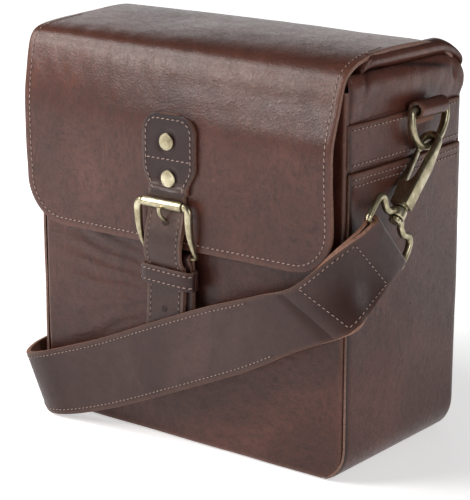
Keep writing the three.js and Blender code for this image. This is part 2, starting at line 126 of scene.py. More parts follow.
def softbox(name, place, aim, size, power, colour=(1, 1, 1)):
    bpy.ops.object.light_add(type="AREA", location=place)
    lamp = bpy.context.object
    lamp.name = name
    lamp.rotation_euler = (Vector(aim) - Vector(place)).to_track_quat("-Z", "Y").to_euler()
    lamp.data.shape = "RECTANGLE"
    lamp.data.size, lamp.data.size_y = size
    lamp.data.energy = power
    lamp.data.color = colour


def add_studio():
    scene = bpy.context.scene
    scene.view_settings.view_transform = "Standard"
    scene.view_settings.look = "None"
    world = bpy.data.worlds.new("studio")
    world.use_nodes = True
    nodes, links = world.node_tree.nodes, world.node_tree.links
    nodes["Background"].inputs["Color"].default_value = (1, 1, 1, 1)
    seen = nodes.new("ShaderNodeLightPath")
    level = nodes.new("ShaderNodeMapRange")
    level.inputs["To Min"].default_value = 0.11
    level.inputs["To Max"].default_value = 1.0
    links.new(seen.outputs["Is Camera Ray"], level.inputs["Value"])
    links.new(level.outputs["Result"], nodes["Background"].inputs["Strength"])
    scene.world = world

    bpy.ops.mesh.primitive_grid_add(x_subdivisions=2, y_subdivisions=2, size=12)
    floor = bpy.context.object
    floor.name = "floor"
    paper = bpy.data.materials.new("studio_paper")
    paper.use_nodes = True
    shader = paper.node_tree.nodes["Principled BSDF"]
    shader.inputs["Base Color"].default_value = (0.86, 0.86, 0.86, 1)
    shader.inputs["Roughness"].default_value = 0.9
    shader.inputs["Emission Color"].default_value = (1, 1, 1, 1)
    nodes, links = paper.node_tree.nodes, paper.node_tree.links
    # painted light: the floor glows, at half strength within 0.15 m of the middle and full beyond 0.75 m, so it shows
    # white far off and greyer round the bag
    place = nodes.new("ShaderNodeTexCoord").outputs["Object"]
    distance = nodes.new("ShaderNodeVectorMath")
    distance.operation = "LENGTH"
    links.new(place, distance.inputs[0])
    glow = nodes.new("ShaderNodeMapRange")         # the paper fades to white away from the bag
    glow.inputs["From Min"].default_value = 0.15
    glow.inputs["From Max"].default_value = 0.75
    glow.inputs["To Min"].default_value = 0.50
    glow.inputs["To Max"].default_value = 1.0
    links.new(distance.outputs["Value"], glow.inputs["Value"])
    links.new(glow.outputs["Result"], shader.inputs["Emission Strength"])
    floor.data.materials.append(paper)

    aim = (0, 0, 0.12)
    softbox("overhead", (-0.66, -0.50, 0.95), aim, (0.6, 0.5), 8.5, (1, 0.99, 0.98))
    softbox("key", (-0.74, -0.88, 0.62), aim, (0.55, 0.30), 8.0, (1, 0.98, 0.96))
    softbox("back", (-0.80, 1.05, 0.48), aim, (0.8, 0.45), 1.5)
    softbox("right", (1.25, -0.20, 0.60), aim, (0.4, 0.7), 5.5)


# ------------------------------------------------------------------ materials
def ramp(nodes, stops):
    node = nodes.new("ShaderNodeValToRGB")
    band = node.color_ramp
    while len(band.elements) < len(stops):
        band.elements.new(0.5)
    for element, (place, colour) in zip(band.elements, stops):
        element.position = place
        element.color = (*colour, 1)
    return node


def new_material(name):
    material = bpy.data.materials.new(name)
    material.use_nodes = True
    nodes = material.node_tree.nodes
    links = material.node_tree.links
    return material, nodes, links, nodes["Principled BSDF"]


def texture(nodes, links, kind, scale, source, **values):
    node = nodes.new(kind)
    links.new(source, node.inputs["Vector"])
    node.inputs["Scale"].default_value = scale
    for key, value in values.items():
        if key in ("feature", "distance"):
            setattr(node, key, value)
        else:
            node.inputs[key].default_value = value
    return node


def bumps(nodes, links, shader, layers):
    """Stacks (height socket, strength, distance in mm) into one normal."""
    normal = None
    for height, strength, depth in layers:
        bump = nodes.new("ShaderNodeBump")
        bump.inputs["Strength"].default_value = strength
        bump.inputs["Distance"].default_value = depth * MM
        links.new(height, bump.inputs["Height"])
        if normal is not None:
            links.new(normal, bump.inputs["Normal"])
        normal = bump.outputs["Normal"]
    links.new(normal, shader.inputs["Normal"])


def mix(nodes, links, factor, a, b, blend="MIX"):
    node = nodes.new("ShaderNodeMix")
    node.data_type = "RGBA"
    node.blend_type = blend
    for socket, value in ((node.inputs["Factor"], factor), (node.inputs["A"], a), (node.inputs["B"], b)):
        if hasattr(value, "links"):
            links.new(value, socket)
        elif isinstance(value, tuple):
            socket.default_value = (*value, 1)
        else:
            socket.default_value = value
    return node.outputs["Result"]


def leather_material(name, dark, mid, light, rubbed_and_sheen_colour, roughness=0.44, grain=1.0):
    """Waxed pull-up leather: drifting colour, fine pebble, drawn creases; lighter where the per-point value is above 0
    (rubbed places, and in a few places painted sheen), darkened towards near black where it is below 0 (painted shade
    in seams and creases).
    """
    material, nodes, links, shader = new_material(name)
    place = nodes.new("ShaderNodeTexCoord").outputs["Object"]
    drift = texture(nodes, links, "ShaderNodeTexNoise", 13, place, Detail=4, Roughness=0.6, Distortion=0.8)
    colour = ramp(nodes, [(0.32, dark), (0.52, mid), (0.70, light)])
    links.new(drift.outputs["Fac"], colour.inputs["Fac"])

    cells = texture(nodes, links, "ShaderNodeTexVoronoi", 620, place, feature="DISTANCE_TO_EDGE")
    grainy = texture(nodes, links, "ShaderNodeTexNoise", 420, place, Detail=8, Roughness=0.68, Distortion=1.2)
    layers = []
    for turn, stretch in (((0, 0.5, 0), (1.0, 1.0, 0.42)), ((0, 0.15, 0.2), (0.42, 1.0, 1.0))):
        mapping = nodes.new("ShaderNodeMapping")
        mapping.inputs["Rotation"].default_value = turn
        mapping.inputs["Scale"].default_value = stretch
        links.new(place, mapping.inputs["Vector"])
        layers.append(texture(nodes, links, "ShaderNodeTexNoise", 330, mapping.outputs["Vector"],
                              Detail=6, Roughness=0.66, Distortion=0.7))
    region = texture(nodes, links, "ShaderNodeTexNoise", 22, place, Detail=2)
    pick = ramp(nodes, [(0.42, (0, 0, 0)), (0.58, (1, 1, 1))])
    links.new(region.outputs["Fac"], pick.inputs["Fac"])
    creases = mix(nodes, links, pick.outputs["Color"], layers[0].outputs["Fac"], layers[1].outputs["Fac"])
    surface = mix(nodes, links, 0.5, creases, grainy.outputs["Fac"])

    depth = 0.36 * grain
    speckle = ramp(nodes, [(0.36, (1 - depth, 1 - depth * 1.08, 1 - depth * 1.1)), (0.50, (1, 1, 1)),
                           (0.66, (1 + depth, 1 + depth * 1.04, 1 + depth * 1.04))])
    links.new(surface, speckle.inputs["Fac"])
    toned = mix(nodes, links, 1.0, colour.outputs["Color"], speckle.outputs["Color"], "MULTIPLY")

    # per-point value from the pieces: above 0 pulls towards the lighter rubbed colour (rubbed edges and creases, and
    # painted sheen on the lid and the billet), below 0 is painted shade
    wear_and_shade = nodes.new("ShaderNodeAttribute")
    wear_and_shade.attribute_name = "wear_and_shade"
    share = nodes.new("ShaderNodeMath")
    share.operation = "MULTIPLY"
    share.use_clamp = True
    links.new(wear_and_shade.outputs["Fac"], share.inputs[0])
    links.new(grainy.outputs["Fac"], share.inputs[1])
    # the lighter rubbed colour, which also serves as the painted sheen
    rubbed = mix(nodes, links, share.outputs[0], toned, rubbed_and_sheen_colour)
    # painted shade: below 0 the colour is pulled towards near black, standing in for shade in seams, creases and under
    # the ears' rolls
    painted_shade = nodes.new("ShaderNodeMath")
    painted_shade.operation = "MULTIPLY"
    painted_shade.use_clamp = True
    painted_shade.inputs[1].default_value = -1.0
    links.new(wear_and_shade.outputs["Fac"], painted_shade.inputs[0])
    links.new(mix(nodes, links, painted_shade.outputs[0], rubbed, (0.006, 0.003, 0.0025)), shader.inputs["Base Color"])

    gloss = ramp(nodes, [(0.34, (roughness + 0.10,) * 3), (0.66, (roughness - 0.09,) * 3)])
    links.new(surface, gloss.inputs["Fac"])
    links.new(gloss.outputs["Color"], shader.inputs["Roughness"])
    shader.inputs["Specular IOR Level"].default_value = 0.34
    bumps(nodes, links, shader, [
        (surface, 0.6, 0.34 * grain),
        (cells.outputs["Distance"], 0.5, 0.12 * grain),
    ])
    return material


def plain_material(name, scale, dark, light, roughness, bump=None, metallic=0, **grain):
    """A finish with one grain that colours it and, with bump as (strength, mm), raises it."""
    material, nodes, links, shader = new_material(name)
    place = nodes.new("ShaderNodeTexCoord").outputs["Object"]
    fibre = texture(nodes, links, "ShaderNodeTexNoise", scale, place, **grain)
    colour = ramp(nodes, [(0.3, dark), (0.7, light)])
    links.new(fibre.outputs["Fac"], colour.inputs["Fac"])
    links.new(colour.outputs["Color"], shader.inputs["Base Color"])
    shader.inputs["Roughness"].default_value = roughness
    shader.inputs["Metallic"].default_value = metallic
    if bump:
        bumps(nodes, links, shader, [(fibre.outputs["Fac"], *bump)])
    return material


def suede_material(name, dark, light):
    material, nodes, links, shader = new_material(name)
    place = nodes.new("ShaderNodeTexCoord").outputs["Object"]
    nap = texture(nodes, links, "ShaderNodeTexNoise", 900, place, Detail=4, Roughness=0.7)
    stroke = texture(nodes, links, "ShaderNodeTexNoise", 40, place, Detail=3, Distortion=1.0)
    both = mix(nodes, links, 0.5, nap.outputs["Color"], stroke.outputs["Color"])
    colour = ramp(nodes, [(0.35, dark), (0.65, light)])
    links.new(both, colour.inputs["Fac"])
    links.new(colour.outputs["Color"], shader.inputs["Base Color"])
    shader.inputs["Roughness"].default_value = 0.95
    shader.inputs["Sheen Weight"].default_value = 0.6
    shader.inputs["Sheen Roughness"].default_value = 0.4
    bumps(nodes, links, shader, [(nap.outputs["Fac"], 0.6, 0.4)])
    return material


def brass_material():
    """Antique brass: bright where it is rubbed, brown in the hollows, finely pitted."""
    material, nodes, links, shader = new_material("antique_brass")
    place = nodes.new("ShaderNodeTexCoord").outputs["Object"]
    tarnish = texture(nodes, links, "ShaderNodeTexNoise", 130, place, Detail=5, Roughness=0.65)
    pits = texture(nodes, links, "ShaderNodeTexNoise", 1400, place, Detail=3)
    colour = ramp(nodes, [
        (0.30, (0.19, 0.155, 0.095)), (0.5, (0.36, 0.315, 0.205)), (0.68, (0.58, 0.53, 0.385))])
    links.new(tarnish.outputs["Fac"], colour.inputs["Fac"])
    links.new(colour.outputs["Color"], shader.inputs["Base Color"])
    gloss = ramp(nodes, [(0.3, (0.42,) * 3), (0.7, (0.24,) * 3)])
    links.new(tarnish.outputs["Fac"], gloss.inputs["Fac"])
    links.new(gloss.outputs["Color"], shader.inputs["Roughness"])
    shader.inputs["Metallic"].default_value = 1
    bumps(nodes, links, shader, [(pits.outputs["Fac"], 0.12, 0.1)])
    return material


# Leather colours: dark, middle and light of the drift, then the lighter colour of rubbed places, which also gives the
# painted sheen.
HIDE = leather_material("bag_leather", (0.042, 0.0118, 0.0076), (0.060, 0.0172, 0.0112),
                        (0.084, 0.0265, 0.0178), (0.19, 0.082, 0.052), roughness=0.33, grain=1.35)
TAB_HIDE = leather_material("tab_leather", (0.013, 0.0028, 0.0023), (0.020, 0.0042, 0.0034),
                            (0.036, 0.012, 0.0105), (0.15, 0.085, 0.065), roughness=0.40, grain=0.6)
STRAP_HIDE = leather_material("strap_leather", (0.026, 0.0100, 0.0080), (0.040, 0.0160, 0.0130),
                              (0.066, 0.030, 0.025), (0.12, 0.052, 0.032), roughness=0.42, grain=0.6)
RAW_EDGE = plain_material("burnished_edge", 620, (0.085, 0.036, 0.025), (0.22, 0.115, 0.08), 0.62, (0.5, 0.4),
                          Detail=5, Roughness=0.7)
STRAP_EDGE = plain_material("strap_edge", 620, (0.11, 0.042, 0.024), (0.30, 0.145, 0.09), 0.62, (0.5, 0.4),
                            Detail=5, Roughness=0.7)
FLESH = suede_material("flesh_side", (0.07, 0.026, 0.014), (0.24, 0.10, 0.055))
LINING = suede_material("lining_suede", (0.15, 0.085, 0.055), (0.27, 0.17, 0.115))
BRASS = brass_material()
STEEL = plain_material("snap_steel", 600, (0.42, 0.40, 0.36), (0.62, 0.60, 0.55), 0.32, (0.1, 0.1), 1, Detail=4)
THREAD = plain_material("thread", 2600, (0.24, 0.15, 0.125), (0.44, 0.31, 0.26), 0.75, (0.4, 0.2), Detail=2)
# a near-black finish for needle and strap holes: painted shade standing in for the dark inside of each hole
HOLE_SHADE = plain_material("needle_hole_shade", 800, (0.018, 0.009, 0.007), (0.035, 0.017, 0.013), 0.9, Detail=2)



# ------------------------------------------------------------------ making tools
def deselect():
    for thing in bpy.context.selected_objects:
        thing.select_set(False)


def make_active(piece):
    deselect()
    piece.select_set(True)
    bpy.context.view_layer.objects.active = piece


def apply_all(piece):
    make_active(piece)
    for modifier in list(piece.modifiers):
        bpy.ops.object.modifier_apply(modifier=modifier.name)


def finish_piece(piece, body, replaced=(), smooth=40):
    """Smooths a piece; hangs it on its body when that is a name, and otherwise only reads the blend and bakes the piece
    in place; hides the nodes it stands for.
    """
    make_active(piece)
    bpy.ops.object.shade_smooth_by_angle(angle=math.radians(smooth))
    if isinstance(body, str):
        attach(piece, body)
    else:
        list(body[:2])
        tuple(body[2])
        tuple(body[3])
        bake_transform(piece)
    if replaced:
        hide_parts(*replaced)
    return piece


def close_up(piece, merge=0.0):
    """Merges doubled points and turns a closed mesh's faces outwards."""
    make_active(piece)
    bpy.ops.object.mode_set(mode="EDIT")
    bpy.ops.mesh.select_all(action="SELECT")
    if merge:
        bpy.ops.mesh.remove_doubles(threshold=merge)
    bpy.ops.mesh.normals_make_consistent(inside=False)
    bpy.ops.object.mode_set(mode="OBJECT")


def sheet_grid(name, across, along, place, materials, wear_and_shade=None):
    """A grid primitive whose every vertex is laid at place(u, v), u and v from 0 to 1, in mm."""
    deselect()
    bpy.ops.mesh.primitive_grid_add(x_subdivisions=across, y_subdivisions=along, size=1)
    piece = bpy.context.object
    piece.name = name
    marks = []
    for vertex in piece.data.vertices:
        u, v = vertex.co.x + 0.5, vertex.co.y + 0.5
        vertex.co = Vector(place(u, v)) * MM
        marks.append(wear_and_shade(u, v) if wear_and_shade else 0.0)
    # per-point value: above 0 lightens where rubbed (in places painted sheen), below 0 is painted shade
    attribute = piece.data.attributes.new("wear_and_shade", "FLOAT", "POINT")
    attribute.data.foreach_set("value", marks)
    for material in materials:
        piece.data.materials.append(material)
    piece.data.update()
    return piece


def flip(piece):
    make_active(piece)
    bpy.ops.object.mode_set(mode="EDIT")
    bpy.ops.mesh.select_all(action="SELECT")
    bpy.ops.mesh.flip_normals()
    bpy.ops.object.mode_set(mode="OBJECT")


def thicken(piece, thickness, offset=-1.0, round_over=0.6, back_slot=0, rim_slot=1):
    solid = piece.modifiers.new("hide", "SOLIDIFY")
    solid.thickness = thickness * MM
    solid.offset = offset
    solid.use_even_offset = False
    solid.material_offset = back_slot
    solid.material_offset_rim = rim_slot
    if round_over:
        bevel = piece.modifiers.new("edge", "BEVEL")
        bevel.width = round_over * MM
        bevel.segments = 2
        bevel.limit_method = "ANGLE"
        bevel.angle_limit = math.radians(50)
        bevel.use_clamp_overlap = True
    apply_all(piece)


def smooth_path(points, steps, closed=False):
    """A smooth line through points, as steps equal parts."""
    p = [np.array(q, float) for q in points]
    dense = []
    count = len(p)
    spans = count if closed else count - 1
    for i in range(spans):
        a = p[(i - 1) % count] if closed or i else 2 * p[0] - p[1]
        b, c = p[i], p[(i + 1) % count]
        d = p[(i + 2) % count] if closed or i < count - 2 else 2 * p[-1] - p[-2]
        for k in range(16):
            t = k / 16
            dense.append(0.5 * ((2 * b) + (c - a) * t + (2 * a - 5 * b + 4 * c - d) * t * t
                                + (3 * b - a - 3 * c + d) * t ** 3))
    dense.append(p[0] if closed else p[-1])
    dense = np.array(dense)
    run = np.concatenate([[0], np.cumsum(np.linalg.norm(np.diff(dense, axis=0), axis=1))])
    want = np.linspace(0, run[-1], steps + 1)
    return np.stack([np.interp(want, run, dense[:, k]) for k in range(dense.shape[1])], 1)


def ripple(x, y, z=0.0, size=60.0, seed=0.0):
    """A smooth deterministic unevenness from -1 to 1."""
    return noise.noise(Vector((x / size + seed, y / size - seed, z / size + 3.7 * seed)))


def ease(value, start, end):
    """Goes from 0 to 1 between two values."""
    share = min(max((value - start) / (end - start), 0), 1)
    return share * share * (3 - 2 * share)


def near(value, centre, width):
    return math.exp(-((value - centre) / width) ** 2)


# ------------------------------------------------------------------ stitching
def thread_bead():
    """One stitch, modelled once: a soft-ended bead lying along X."""
    deselect()
    bpy.ops.mesh.primitive_uv_sphere_add(segments=8, ring_count=6, radius=1)
    bead = bpy.context.object
    shape = np.array([v.co[:] for v in bead.data.vertices])
    faces = [tuple(p.vertices) for p in bead.data.polygons]
    bpy.data.objects.remove(bead)
    turned = shape[:, [2, 0, 1]]
    turned[:, 0] = np.sign(turned[:, 0]) * np.abs(turned[:, 0]) ** 0.6
    return turned, faces


BEAD, BEAD_FACES = thread_bead()


def stitches(name, line, outward, body, pitch=3.3, length=2.1, thick=0.30, slant=0.14):
    """A row of stitches along a line of points in mm, with a near-black bead between each two as the painted shade of a
    needle hole.
    """
    line = np.array(line, float)
    outward = np.array(outward, float)
    if outward.ndim == 1:
        outward = np.repeat(outward[None], len(line), 0)
    run = np.concatenate([[0], np.cumsum(np.linalg.norm(np.diff(line, axis=0), axis=1))])
    count = max(int(run[-1] / pitch), 1)
    step = run[-1] / count
    vertices, faces, which = [], [], []
    for i in range(count):
        for kind, at in ((0, (i + 0.5) * step), (1, i * step)):
            centre = np.array([np.interp(at, run, line[:, k]) for k in range(3)])
            ahead = np.array([np.interp(min(at + 0.5, run[-1]), run, line[:, k]) for k in range(3)])
            behind = np.array([np.interp(max(at - 0.5, 0), run, line[:, k]) for k in range(3)])
            proud = np.array([np.interp(at, run, outward[:, k]) for k in range(3)])
            proud /= np.linalg.norm(proud)
            along = ahead - behind
            along -= proud * along.dot(proud)
            along /= np.linalg.norm(along)
            side = np.cross(proud, along)
            if kind == 0:
                along = along + side * slant
                along /= np.linalg.norm(along)
                side = np.cross(proud, along)
                size = (length / 2, thick, thick * 0.8)
                lift = 0.12
            else:
                size = (0.42, 0.34, 0.2)
                lift = 0.0
            base = sum(len(v) for v in vertices)
            shape = (BEAD[:, :1] * size[0] * along + BEAD[:, 1:2] * size[1] * side
                     + BEAD[:, 2:] * size[2] * proud + centre + proud * lift)
            vertices.append(shape)
            faces += [tuple(j + base for j in f) for f in BEAD_FACES]
            which += [kind] * len(BEAD_FACES)
    mesh = bpy.data.meshes.new(name)
    mesh.from_pydata((np.concatenate(vertices) * MM).tolist(), [], faces)
    mesh.materials.append(THREAD)
    mesh.materials.append(HOLE_SHADE)
    mesh.polygons.foreach_set("material_index", which)
    piece = bpy.data.objects.new(name, mesh)
    bpy.context.scene.collection.objects.link(piece)
    return finish_piece(piece, body, smooth=60)


# ------------------------------------------------------------------ body
def outline_half(z, radius):
    """Half the width of a panel with rounded bottom corners, at a height."""
    if z >= radius:
        return HALF
    return HALF - radius + math.sqrt(max(radius ** 2 - (radius - z) ** 2, 0.0))


SEAM = 2.4           # radius of the turned edge along the front and back seams


def turned(distance, radius=SEAM):
    """How far a panel has curled back at a distance from its outline."""
    if distance >= radius:
        return 0.0
    return radius - math.sqrt(max(radius ** 2 - (radius - distance) ** 2, 0.0))


def front_depth(x, z):
    """The outer face of the front leather, in front of the origin."""
    belly = 1.6 * math.cos(math.pi * x / (2.2 * HALF)) * math.sin(math.pi * min(max(z, 0), 200) / 200)
    turn = math.atan2(z - 88, 12 - x)              # wrinkles spread out from the closure
    spread = near(turn, 0.1, 0.55) * min(max((-x - 14) / 20, 0), 1) * min(max((x + 100) / 30, 0), 1)
    wrinkle = 0.42 * spread * math.sin(turn * 46 + 2.2 * ripple(x, z, size=22, seed=3.9))
    uneven = 0.45 * ripple(x, z, size=45, seed=2.1) + 0.2 * ripple(x, z, size=14, seed=5.3)
    return FRONT - belly - wrinkle - uneven


def front_leather():
    top = WALL_TOP - 3.5

    def place(u, v):
        z = top * v ** 1.15
        half = outline_half(z, CORNER)
        inset = abs(2 * u - 1)
        x = math.copysign(half * (1 - (1 - inset) ** 1.25), 2 * u - 1)
        return x, front_depth(x, z) + turned(half - abs(x)) + turned(z), max(z, 0.0)

    def wear_and_shade(u, v):
        rim = min(HALF * (1 - abs(2 * u - 1)), top * v)
        # a lighter band on the rounded edge where rubbed; the dip below 0 right at the outline is painted shade in the
        # seam groove
        return 0.75 * near(rim, 2.2, 2.4) - 0.6 * near(rim, 0.0, 0.9)

    piece = sheet_grid("front_leather", 130, 110, place, (HIDE, HIDE), wear_and_shade)
    flip_if_needed(piece, Vector((0, -1, 0)))
    thicken(piece, 2.4, round_over=0)
    return finish_piece(piece, "root", ["front_panel"])


def flip_if_needed(piece, outward):
    """Turns a sheet over if most of it faces away from the given direction."""
    total = sum((p.normal.dot(outward) * p.area for p in piece.data.polygons))
    if total < 0:
        flip(piece)


def wall_path():
    """The gusset's run: down the right side, along the base and up the left, as (x, z)."""
    points = []
    steps = 14
    for i in range(steps + 1):
        turn = math.pi / 2 * i / steps
        points.append((HALF - CORNER + CORNER * math.cos(turn), CORNER - CORNER * math.sin(turn)))
    right = [(HALF, WALL_TOP + 2 - (WALL_TOP + 2 - CORNER) * i / 46) for i in range(46)] + points
    base = [(HALF - CORNER - (2 * HALF - 2 * CORNER) * i / 34, 0.0) for i in range(1, 34)]
    left = [(-x, z) for x, z in reversed(right)]
    return right + base + left


WALL = wall_path()
REAR_ROUND = 14.0


def wall_point(k, t, lift=0.0):
    """A point of the side wall: k along the run, t from the front edge (0) to the back edge (1)."""
    i = min(int(k), len(WALL) - 2)
    f = k - i
    x = WALL[i][0] * (1 - f) + WALL[i + 1][0] * f
    z = WALL[i][1] * (1 - f) + WALL[i + 1][1] * f
    j0, j1 = max(i - 1, 0), min(i + 2, len(WALL) - 1)
    along = Vector((WALL[j1][0] - WALL[j0][0], 0, WALL[j1][1] - WALL[j0][1])).normalized()
    out = Vector((-along.z, 0, along.x))
    if out.x * x + out.z * (z - 90) < 0:
        out = -out
    y0, y1 = FRONT + SEAM - 0.4, BACK - SEAM + 0.6
    if lift > 0.5:
        y0 -= 2.2
    if z > WALL_TOP - REAR_ROUND + 2:
        rise = z - (WALL_TOP - REAR_ROUND + 2)
        y1 -= REAR_ROUND - math.sqrt(max(REAR_ROUND ** 2 - rise ** 2, 0.0))
    y = y0 + (y1 - y0) * t
    depth = (y1 - y0)
    curl = turned(t * depth, 2.6) * (0.4 if lift > 0.5 else 1) + turned((1 - t) * depth, 2.6)
    upper = min(max((z - 20) / 60, 0), 1)
    belly = upper * (1.1 * math.sin(math.pi * t) + 0.5 * ripple(y, z, x, size=38, seed=1.3)
                     + 0.16 * ripple(y, z, x, size=12, seed=4.4))
    over = min(max((z - 196) / 18, 0), 1)
    belly += 1.2 * over * math.sin(math.pi * min(max(t, 0), 1)) - 4.2 * ease(z, 192, 206)   # under the ears
    return Vector((x, y, z)) + out * (belly + lift - curl)


def gusset_leather():
    last = len(WALL) - 1

    def place(u, v):
        point = wall_point(v * last, u)
        point.z = max(point.z, 0.0)
        return point

    # lighter a little in from each seam where the turned edge is rubbed; below 0 right at the front and back seams is
    # painted shade
    piece = sheet_grid("gusset_leather", 60, 150, place, (HIDE, HIDE),
                       lambda u, v: 0.3 * near(min(u, 1 - u) * DEPTH, 4, 3)
                       - near(min(u, 1 - u) * DEPTH, 0.0, 1.5))
    make_active(piece)
    outward = sum(p.normal.x * p.center.x * p.area for p in piece.data.polygons)
    if outward < 0:
        flip(piece)
    thicken(piece, 2.4, round_over=0, back_slot=0)
    return finish_piece(piece, "root", ["gusset"])


def wall_row(z, side):
    """Where along the run a height lies, on the right (side 1) or the left (side -1)."""
    k = 0
    while WALL[k + 1][1] > z and k < 60:
        k += 1
    f = (WALL[k][1] - z) / (WALL[k][1] - WALL[k + 1][1])
    k += min(max(f, 0), 1)
    return k if side > 0 else len(WALL) - 1 - k


def side_panel(name, side, z_low, z_high, lift, node, rows):
    """Leather laid on the side wall between two heights, standing proud of it."""
    k_low, k_high = wall_row(z_low, side), wall_row(z_high, side)

    def place(u, v):
        k = k_low + (k_high - k_low) * v
        i = min(int(k), len(WALL) - 2)
        z = WALL[i][1] * (1 - k + i) + WALL[i + 1][1] * (k - i)
        t = 0.006 + 0.988 * u
        swell = lift * min(1, 0.25 + z / 26)
        point = wall_point(k, t, swell)
        point.z = max(point.z, 0.25)
        return point

    # lighter along the top edge where rubbed; below 0 at the front and back seams is painted shade
    piece = sheet_grid(name, 44, rows, place, (HIDE, RAW_EDGE),
                       lambda u, v: 0.6 * near((1 - v) * (z_high - z_low), 0.5, 1.6)
                       - near(min(u, 1 - u) * DEPTH, 0, 1.6))
    flip_if_needed(piece, Vector((side, 0, 0)))
    thicken(piece, 1.9, round_over=0.5)
    return finish_piece(piece, "root", [node])


def wall_line(z, side, lift, inset=3.0, steps=60):
    """A level line on the side wall and its outward directions, for stitching."""
    k = wall_row(z, side)
    line, out = [], []
    for i in range(steps + 1):
        t = inset / DEPTH + (1 - 2 * inset / DEPTH) * i / steps
        line.append(wall_point(k, t, lift))
        out.append((side, 0, 0))
    return [tuple(p) for p in line], out


def sides():
    for name, side in (("left", -1), ("right", 1)):
        side_panel(f"band_leather_{name}", side, BAND_LOW, BAND_HIGH, 1.7, f"side_band_{name}", 10)
        side_panel(f"pocket_leather_{name}", side, 1.0, POCKET_HIGH, 2.5, f"side_pocket_{name}", 70)
        for label, z, lift in (("band_top", BAND_HIGH - 2.6, 1.8), ("band_low", BAND_LOW + 2.4, 1.8),
                               ("pocket_top", POCKET_HIGH - 3, 2.6), ("pocket_second", POCKET_HIGH - 6.4, 2.6)):
            line, out = wall_line(z, side, lift)
            stitches(f"stitch_{label}_{name}", line, out, "root")


# ------------------------------------------------------------------ flap and back
# The outer face of the hide, from the flap's lower edge up, over and down the back, as (y, z).
FACE_RIGHT = [
    (-64.6, 114.5), (-66.2, 140), (-67.6, 165), (-67.2, 182), (-64.0, 194), (-61.0, 203), (-58.6, 211),
    (-54.8, 218.0), (-46.5, 223.2), (-33, 226.2), (-13, 227.8), (14, 227.2), (32, 224), (44, 217.6),
    (51.6, 208.6), (55.4, 198), (56, 170), (56, 100), (55.6, 40), (55.2, 0),
]
FACE_LEFT = [
    (-64.6, 114.5), (-66.0, 140), (-66.8, 165), (-66.6, 185), (-65.0, 200), (-62.8, 211.4), (-60.4, 219.2),
    (-56.0, 223.6), (-47, 225.9), (-33, 227.2), (-10, 228.4), (14, 229.4), (31, 227.2), (44, 220.4),
    (51.8, 209.6), (55.4, 198), (56, 170), (56, 100), (55.6, 40), (55.2, 0),
]
FACE_STEPS = 400
RIGHT_LINE = smooth_path(FACE_RIGHT, FACE_STEPS)
LEFT_LINE = smooth_path(FACE_LEFT, FACE_STEPS)
FACE_LENGTH = float(np.sum(np.linalg.norm(np.diff(RIGHT_LINE, axis=0), axis=1)))


def face_point(x, s):
    """The hide's outer face at a width x and a share s of its run."""
    share = (x - FLAP_LEFT) / (FLAP_RIGHT - FLAP_LEFT)
    k = min(max(s, 0), 1) * FACE_STEPS
    i = min(int(k), FACE_STEPS - 1)
    f = k - i
    right = RIGHT_LINE[i] * (1 - f) + RIGHT_LINE[i + 1] * f
    left = LEFT_LINE[i] * (1 - f) + LEFT_LINE[i + 1] * f
    y, z = left * (1 - share) + right * share
    along = RIGHT_LINE[min(i + 1, FACE_STEPS)] - RIGHT_LINE[max(i - 1, 0)]
    along /= np.linalg.norm(along)
    out = (-along[1], along[0])
    run = s * FACE_LENGTH
    lid = near(run, 175, 55)
    dip = 0.5 * lid * math.cos(math.pi * (share - 0.5))
    swell = 0.55 * ripple(x, run, size=42, seed=7.7) + 0.16 * ripple(x, run, size=13, seed=9.1)
    fold = near(run, 100, 26)
    swell += 0.35 * fold * math.sin((x + 0.5 * run) * 0.42 + 2.5 * ripple(x, run, size=25, seed=8.2)) * abs(
        ripple(x, run, size=34, seed=1.9))
    front = near(run, 45, 45)
    swell += 0.6 * front * math.cos(math.pi * (share - 0.5) * 2)
    offset = dip + swell
    return Vector((x, y + out[0] * offset, z + out[1] * offset)), Vector((0, out[0], out[1]))


def share_at(y, z):
    """The share of the run nearest to a point of the profile."""
    middle = (RIGHT_LINE + LEFT_LINE) / 2
    return float(np.argmin(np.hypot(middle[:, 0] - y, middle[:, 1] - z))) / FACE_STEPS


SEAM_AT = share_at(47, 214.5)


def flap_half(run, radius):
    """How much narrower the flap is near its lower corners."""
    if run >= radius:
        return 0.0
    return radius - math.sqrt(max(radius ** 2 - (radius - run) ** 2, 0.0))


# The two bodies each side of where the hide would bend, and the start and end points of that blend, in metres; nothing
# makes the hide bend.
FOLD_BLEND = ("flap_top", "flap_front", (0, -0.0500, 0.2235), (0, -0.0635, 0.2000))
LID_BLEND = ("root", "flap_top", (0, 0.0556, 0.1960), (0, 0.0520, 0.2100))


